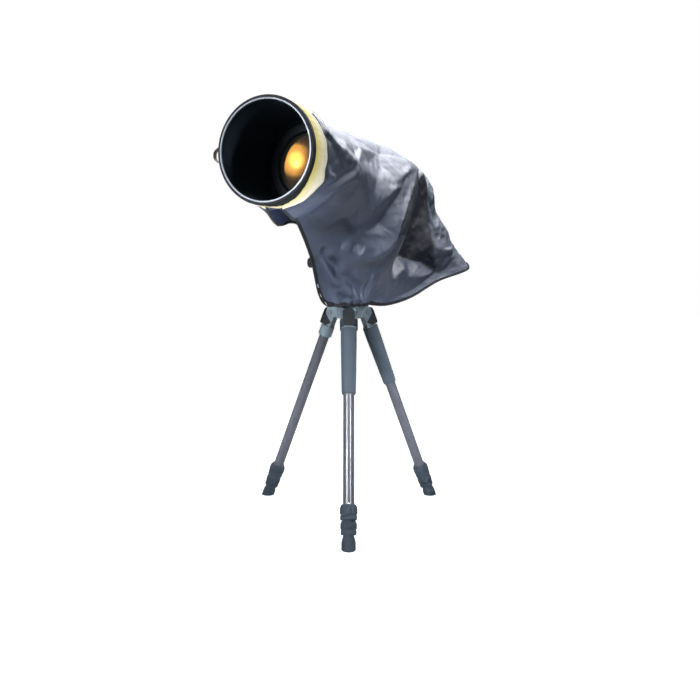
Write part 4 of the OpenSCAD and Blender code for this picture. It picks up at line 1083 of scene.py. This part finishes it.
class COVERCAM_OT_finishes(bpy.types.Operator):
    """Gives every solid that stays in view its own finish"""

    bl_idname = "covercam.finishes"
    bl_label = "Finishes of the solids"

    def execute(self, context):
        stand, optics = context.scene.stand_finish, context.scene.optics_finish
        finish = {
            painted_casting("painted die casting", stand.casting): ["spider", *each("leg_yoke")],
            lacquered_tube("lacquered fibre tube", stand.tube):
                ["centre_column", *each("leg_tube_upper", "leg_tube_middle", "leg_tube_lower")],
            moulded_rubber("moulded rubber", stand.rubber):
                ["column_lock", *each("upper_lock", "lower_lock", "foot_pad")],
            closed_foam("grip foam", stand.foam): ["leg_grip_front", "leg_grip_right"],
            moulded_plastic("black moulded nylon", linear("#1d2127")):
                ["column_cap", "pan_knob", "tilt_knob", "clamp_knob", "collar_knob", "hood_knob", "mode_dial",
                 *each("angle_latch")],
            painted_casting("black painted casting", linear("#2a2d32")):
                ["head_base", "pan_housing", "tilt_cradle", "clamp_base"],
            turned_metal("turned steel", linear("#b9bcc0")): ["tilt_axle", "shutter_button"],
            turned_metal("satin steel", linear("#8b98a3"), 0.45): ["hinge_bolts"],
            turned_metal("bright chrome", linear("#d5d7da"), 0.12): ["bayonet_ring"],
            anodised_alloy("anodised plate", linear("#9aa0a6")): ["quick_plate"],
            anodised_alloy("satin bezel", linear("#7d838d"), 0.4): ["hood_bezel"],
            anodised_alloy("black anodised ring", linear("#2a2f36"), 0.45): ["front_ring"],
            painted_casting("heat-proof white paint", optics.barrel):
                ["lens_foot", "lens_collar", "lens_barrel"],
            moulded_rubber("ribbed focus rubber", linear("#1c1e22")): ["focus_ring", "eyecup"],
            moulded_rubber("hood bumper rubber", linear("#1b1f25")): ["hood_bumper"],
            hood_lining("flocked hood", optics.hood): ["lens_hood"],
            clear_glass("rear glass"): ["rear_element"],
            moulded_plastic("camera shell", optics.body, 0.5, 1.1): ["camera_body"],
        }
        for material, nodes in finish.items():
            for node in nodes:
                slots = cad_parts[node].data.materials
                slots.clear()
                slots.append(material)
        return {"FINISHED"}


# half width of the floor, and how far it lies under the soles, in metres
FLOOR_HALF, FLOOR_DROP = 9, 0.0006
WHITE = (1, 1, 1, 1)
# what the lamps are aimed at
AT_COVER, AT_LEGS, AT_GLASS = (0.04, 0.03, 0.75), (0.03, -0.1, 0.10), (-0.04, -0.205, 0.82)
# lamps: the power each is set from and its share, width and height, place, aim, and spread in degrees;
# one with a single size is round
LAMPS = {
    "top softbox": ("top", 0.36, (1.0, 1.0), (0.20, 0.0, 1.95), AT_COVER, 180),
    "back softbox": ("top", 0.62, (1.4, 1.1), (0.05, 0.85, 1.85), AT_COVER, 180),
    # strips and fills with grids on them, so that they reach the legs and not the cover
    "strip, left": ("side", 0.6, (0.12, 0.9), (-0.60, -1.72, 1.0), AT_LEGS, 22),
    "strip, right": ("side", 0.6, (0.12, 0.9), (1.55, -0.95, 1.0), AT_LEGS, 22),
    "leg fill": ("side", 0.14, (0.9, 0.3), (0.65, -1.75, 0.22), (0.03, -0.05, 0.16), 22),
    "leg fill, right": ("side", 0.85, (0.4, 0.3), (1.30, -0.65, 0.25), (0.10, 0.12, 0.22), 24),
    "leg fill, left": ("side", 0.55, (0.4, 0.3), (-1.20, -1.00, 0.25), (-0.14, 0.02, 0.22), 24),
    "low fill": ("side", 0.09, (0.12, 0.12), (0.60, -0.60, 0.25), (-0.02, -0.33, 0.695), 18),
    # a flash fired into an umbrella in front of the lens: brightest in the middle
    "umbrella": ("glow", 0.6, (0.50,), (-0.30, -1.69, 0.90), AT_GLASS, 180),
    "umbrella middle": ("glow", 0.3, (0.26,), (-0.30, -1.67, 0.90), AT_GLASS, 180),
    "umbrella bulb": ("glow", 0.1, (0.07,), (-0.31, -1.66, 0.95), AT_GLASS, 180),
}
# lamps that glossy surfaces don't mirror
UNSEEN = ("leg fill, right", "leg fill, left")
# the camera: place in metres, tilt and turn in degrees, sensor width in millimetres
EYE, EYE_TILT, EYE_TURN, SENSOR = (0.6050, -1.5567, 0.5840), 83.76, 21.14, 36.0


def white_paper():
    # matt white paper: reads white to the camera, with its shadow, and dull grey to all other light
    material = bpy.data.materials.new("white paper floor")
    material.use_nodes = True
    tree = material.node_tree
    tree.nodes.clear()
    paper = add(tree, "ShaderNodeBsdfDiffuse", {"Color": linear("#f2f2f0")})
    here = add(tree, "ShaderNodeTexCoord").outputs["Object"]
    away = add(tree, "ShaderNodeVectorMath", {0: here}, operation="LENGTH")
    fade = add(tree, "ShaderNodeMapRange", {"Value": away.outputs["Value"], "From Min": 0.35, "From Max": 2.2,
               "To Min": 0.72, "To Max": 0.97})
    light = add(tree, "ShaderNodeEmission", {"Color": WHITE, "Strength": fade})
    both = add(tree, "ShaderNodeAddShader", {0: paper, 1: light})
    seen = add(tree, "ShaderNodeLightPath").outputs
    gleam = add(tree, "ShaderNodeMath", {0: seen["Is Glossy Ray"], 1: 0.3}, operation="MULTIPLY")
    eye = add(tree, "ShaderNodeMath", {0: seen["Is Camera Ray"], 1: gleam}, operation="MAXIMUM")
    dull = add(tree, "ShaderNodeBsdfDiffuse", {"Color": linear("#707070")})
    mix = add(tree, "ShaderNodeMixShader", {0: eye, 1: dull, 2: both})
    add(tree, "ShaderNodeOutputMaterial", {"Surface": mix})
    return material


def white_room(air):
    """A world that is white to the camera, bright behind and above the object, dim on the camera's side."""
    world = bpy.data.worlds.new("white room")
    world.use_nodes = True
    tree = world.node_tree
    tree.nodes.clear()
    way = add(tree, "ShaderNodeTexCoord").outputs["Generated"]
    back = add(tree, "ShaderNodeVectorMath", {0: way, 1: (0.0, 0.62, 0.78)}, operation="DOT_PRODUCT")
    span = add(tree, "ShaderNodeMapRange", {"Value": back.outputs["Value"], "From Min": -0.45,
               "From Max": 0.85, "To Min": air * 0.06, "To Max": air})
    soft = add(tree, "ShaderNodeBackground", {"Color": WHITE, "Strength": span})
    # what glossy surfaces mirror
    rise = add(tree, "ShaderNodeSeparateXYZ", {0: way})
    shine = add(tree, "ShaderNodeMapRange", {"Value": rise.outputs[2], "From Min": 0.08, "From Max": 0.6,
                "To Min": air * 0.12, "To Max": 1.4}, interpolation_type="SMOOTHSTEP")
    behind = add(tree, "ShaderNodeMapRange", {"Value": rise.outputs[1], "From Min": -0.5, "From Max": 0.35,
                 "To Min": 0.04, "To Max": 1.0})
    both = add(tree, "ShaderNodeMath", {0: shine, 1: behind}, operation="MULTIPLY")
    backdrop = add(tree, "ShaderNodeBackground", {"Color": WHITE, "Strength": both})
    white = add(tree, "ShaderNodeBackground", {"Color": WHITE, "Strength": 1.0})
    seen = add(tree, "ShaderNodeLightPath").outputs
    eye = add(tree, "ShaderNodeMath", {0: seen["Is Camera Ray"], 1: seen["Is Transmission Ray"]},
              operation="MAXIMUM")
    gloss = add(tree, "ShaderNodeMixShader", {0: seen["Is Glossy Ray"], 1: soft, 2: backdrop})
    mix = add(tree, "ShaderNodeMixShader", {0: eye, 1: gloss, 2: white})
    add(tree, "ShaderNodeOutputWorld", {"Surface": mix})
    return world


class COVERCAM_OT_stage(bpy.types.Operator):
    """Sets the floor, lamps, room and camera"""

    bl_idname = "covercam.stage"
    bl_label = "Stage"

    def execute(self, context):
        scene, stage = context.scene, context.scene.stage_sizes
        scene.view_settings.view_transform = "Standard"
        corners = [(x * FLOOR_HALF, y * FLOOR_HALF, -FLOOR_DROP)
                   for x, y in ((-1, -1), (1, -1), (1, 1), (-1, 1))]
        floor = piece("floor", corners, [(0, 1, 2, 3)], white_paper(), smooth=False)
        scene.world = white_room(stage.air)
        for name, (source, share, size, place, aim, spread) in LAMPS.items():
            data = bpy.data.lights.new(name, "AREA")
            data.energy, data.spread = getattr(stage, source) * share, math.radians(spread)
            data.shape = "RECTANGLE" if len(size) == 2 else "DISK"
            data.size, data.size_y = size[0], size[-1]
            lamp = bpy.data.objects.new(name, data)
            lamp.location = place
            lamp.rotation_euler = (Vector(aim) - Vector(place)).to_track_quat("-Z", "Y").to_euler()
            lamp.visible_glossy = name not in UNSEEN
            scene.collection.objects.link(lamp)
        eye = bpy.data.cameras.new("photo view")
        eye.lens, eye.sensor_width = stage.focal, SENSOR
        view = bpy.data.objects.new("photo view", eye)
        view.location = EYE
        view.rotation_euler = (math.radians(EYE_TILT), 0, math.radians(EYE_TURN))
        scene.collection.objects.link(view)
        scene.camera = view
        return {"FINISHED"}


OPERATORS = (COVERCAM_OT_rain_cover, COVERCAM_OT_cover_trim, COVERCAM_OT_cuff, COVERCAM_OT_front_glass,
             COVERCAM_OT_lock_ribs, COVERCAM_OT_latch_tabs, COVERCAM_OT_finishes, COVERCAM_OT_stage)


class COVERCAM_PT_panel(bpy.types.Panel):
    """Lists the making steps and their sizes"""

    bl_label = "Covered camera"
    bl_idname = "COVERCAM_PT_panel"
    bl_space_type = "VIEW_3D"
    bl_region_type = "UI"
    bl_category = "Covered camera"

    def draw(self, context):
        for step in OPERATORS:
            self.layout.operator(step.bl_idname)
        for group in GROUPS:
            box = self.layout.box()
            for key in GROUPS[group].__annotations__:
                box.prop(getattr(context.scene, group), key)


GROUPS = {"cover_sizes": CoverSizes, "cover_colours": CoverColours, "stand_finish": StandFinish,
          "optics_finish": OpticsFinish, "stage_sizes": StageSizes}


def register():
    """Adds the classes and their settings to Blender."""
    for cls in (*GROUPS.values(), *OPERATORS, COVERCAM_PT_panel):
        bpy.utils.register_class(cls)
    for name, cls in GROUPS.items():
        setattr(bpy.types.Scene, name, bpy.props.PointerProperty(type=cls))


def unregister():
    """Takes them out again."""
    for name in GROUPS:
        delattr(bpy.types.Scene, name)
    for cls in (COVERCAM_PT_panel, *reversed(OPERATORS), *reversed(list(GROUPS.values()))):
        bpy.utils.unregister_class(cls)


def main():
    """Makes everything in order."""
    register()
    for step in OPERATORS:
        group, name = step.bl_idname.split(".")
        getattr(getattr(bpy.ops, group), name)()


if __name__ == "__main__":
    main()
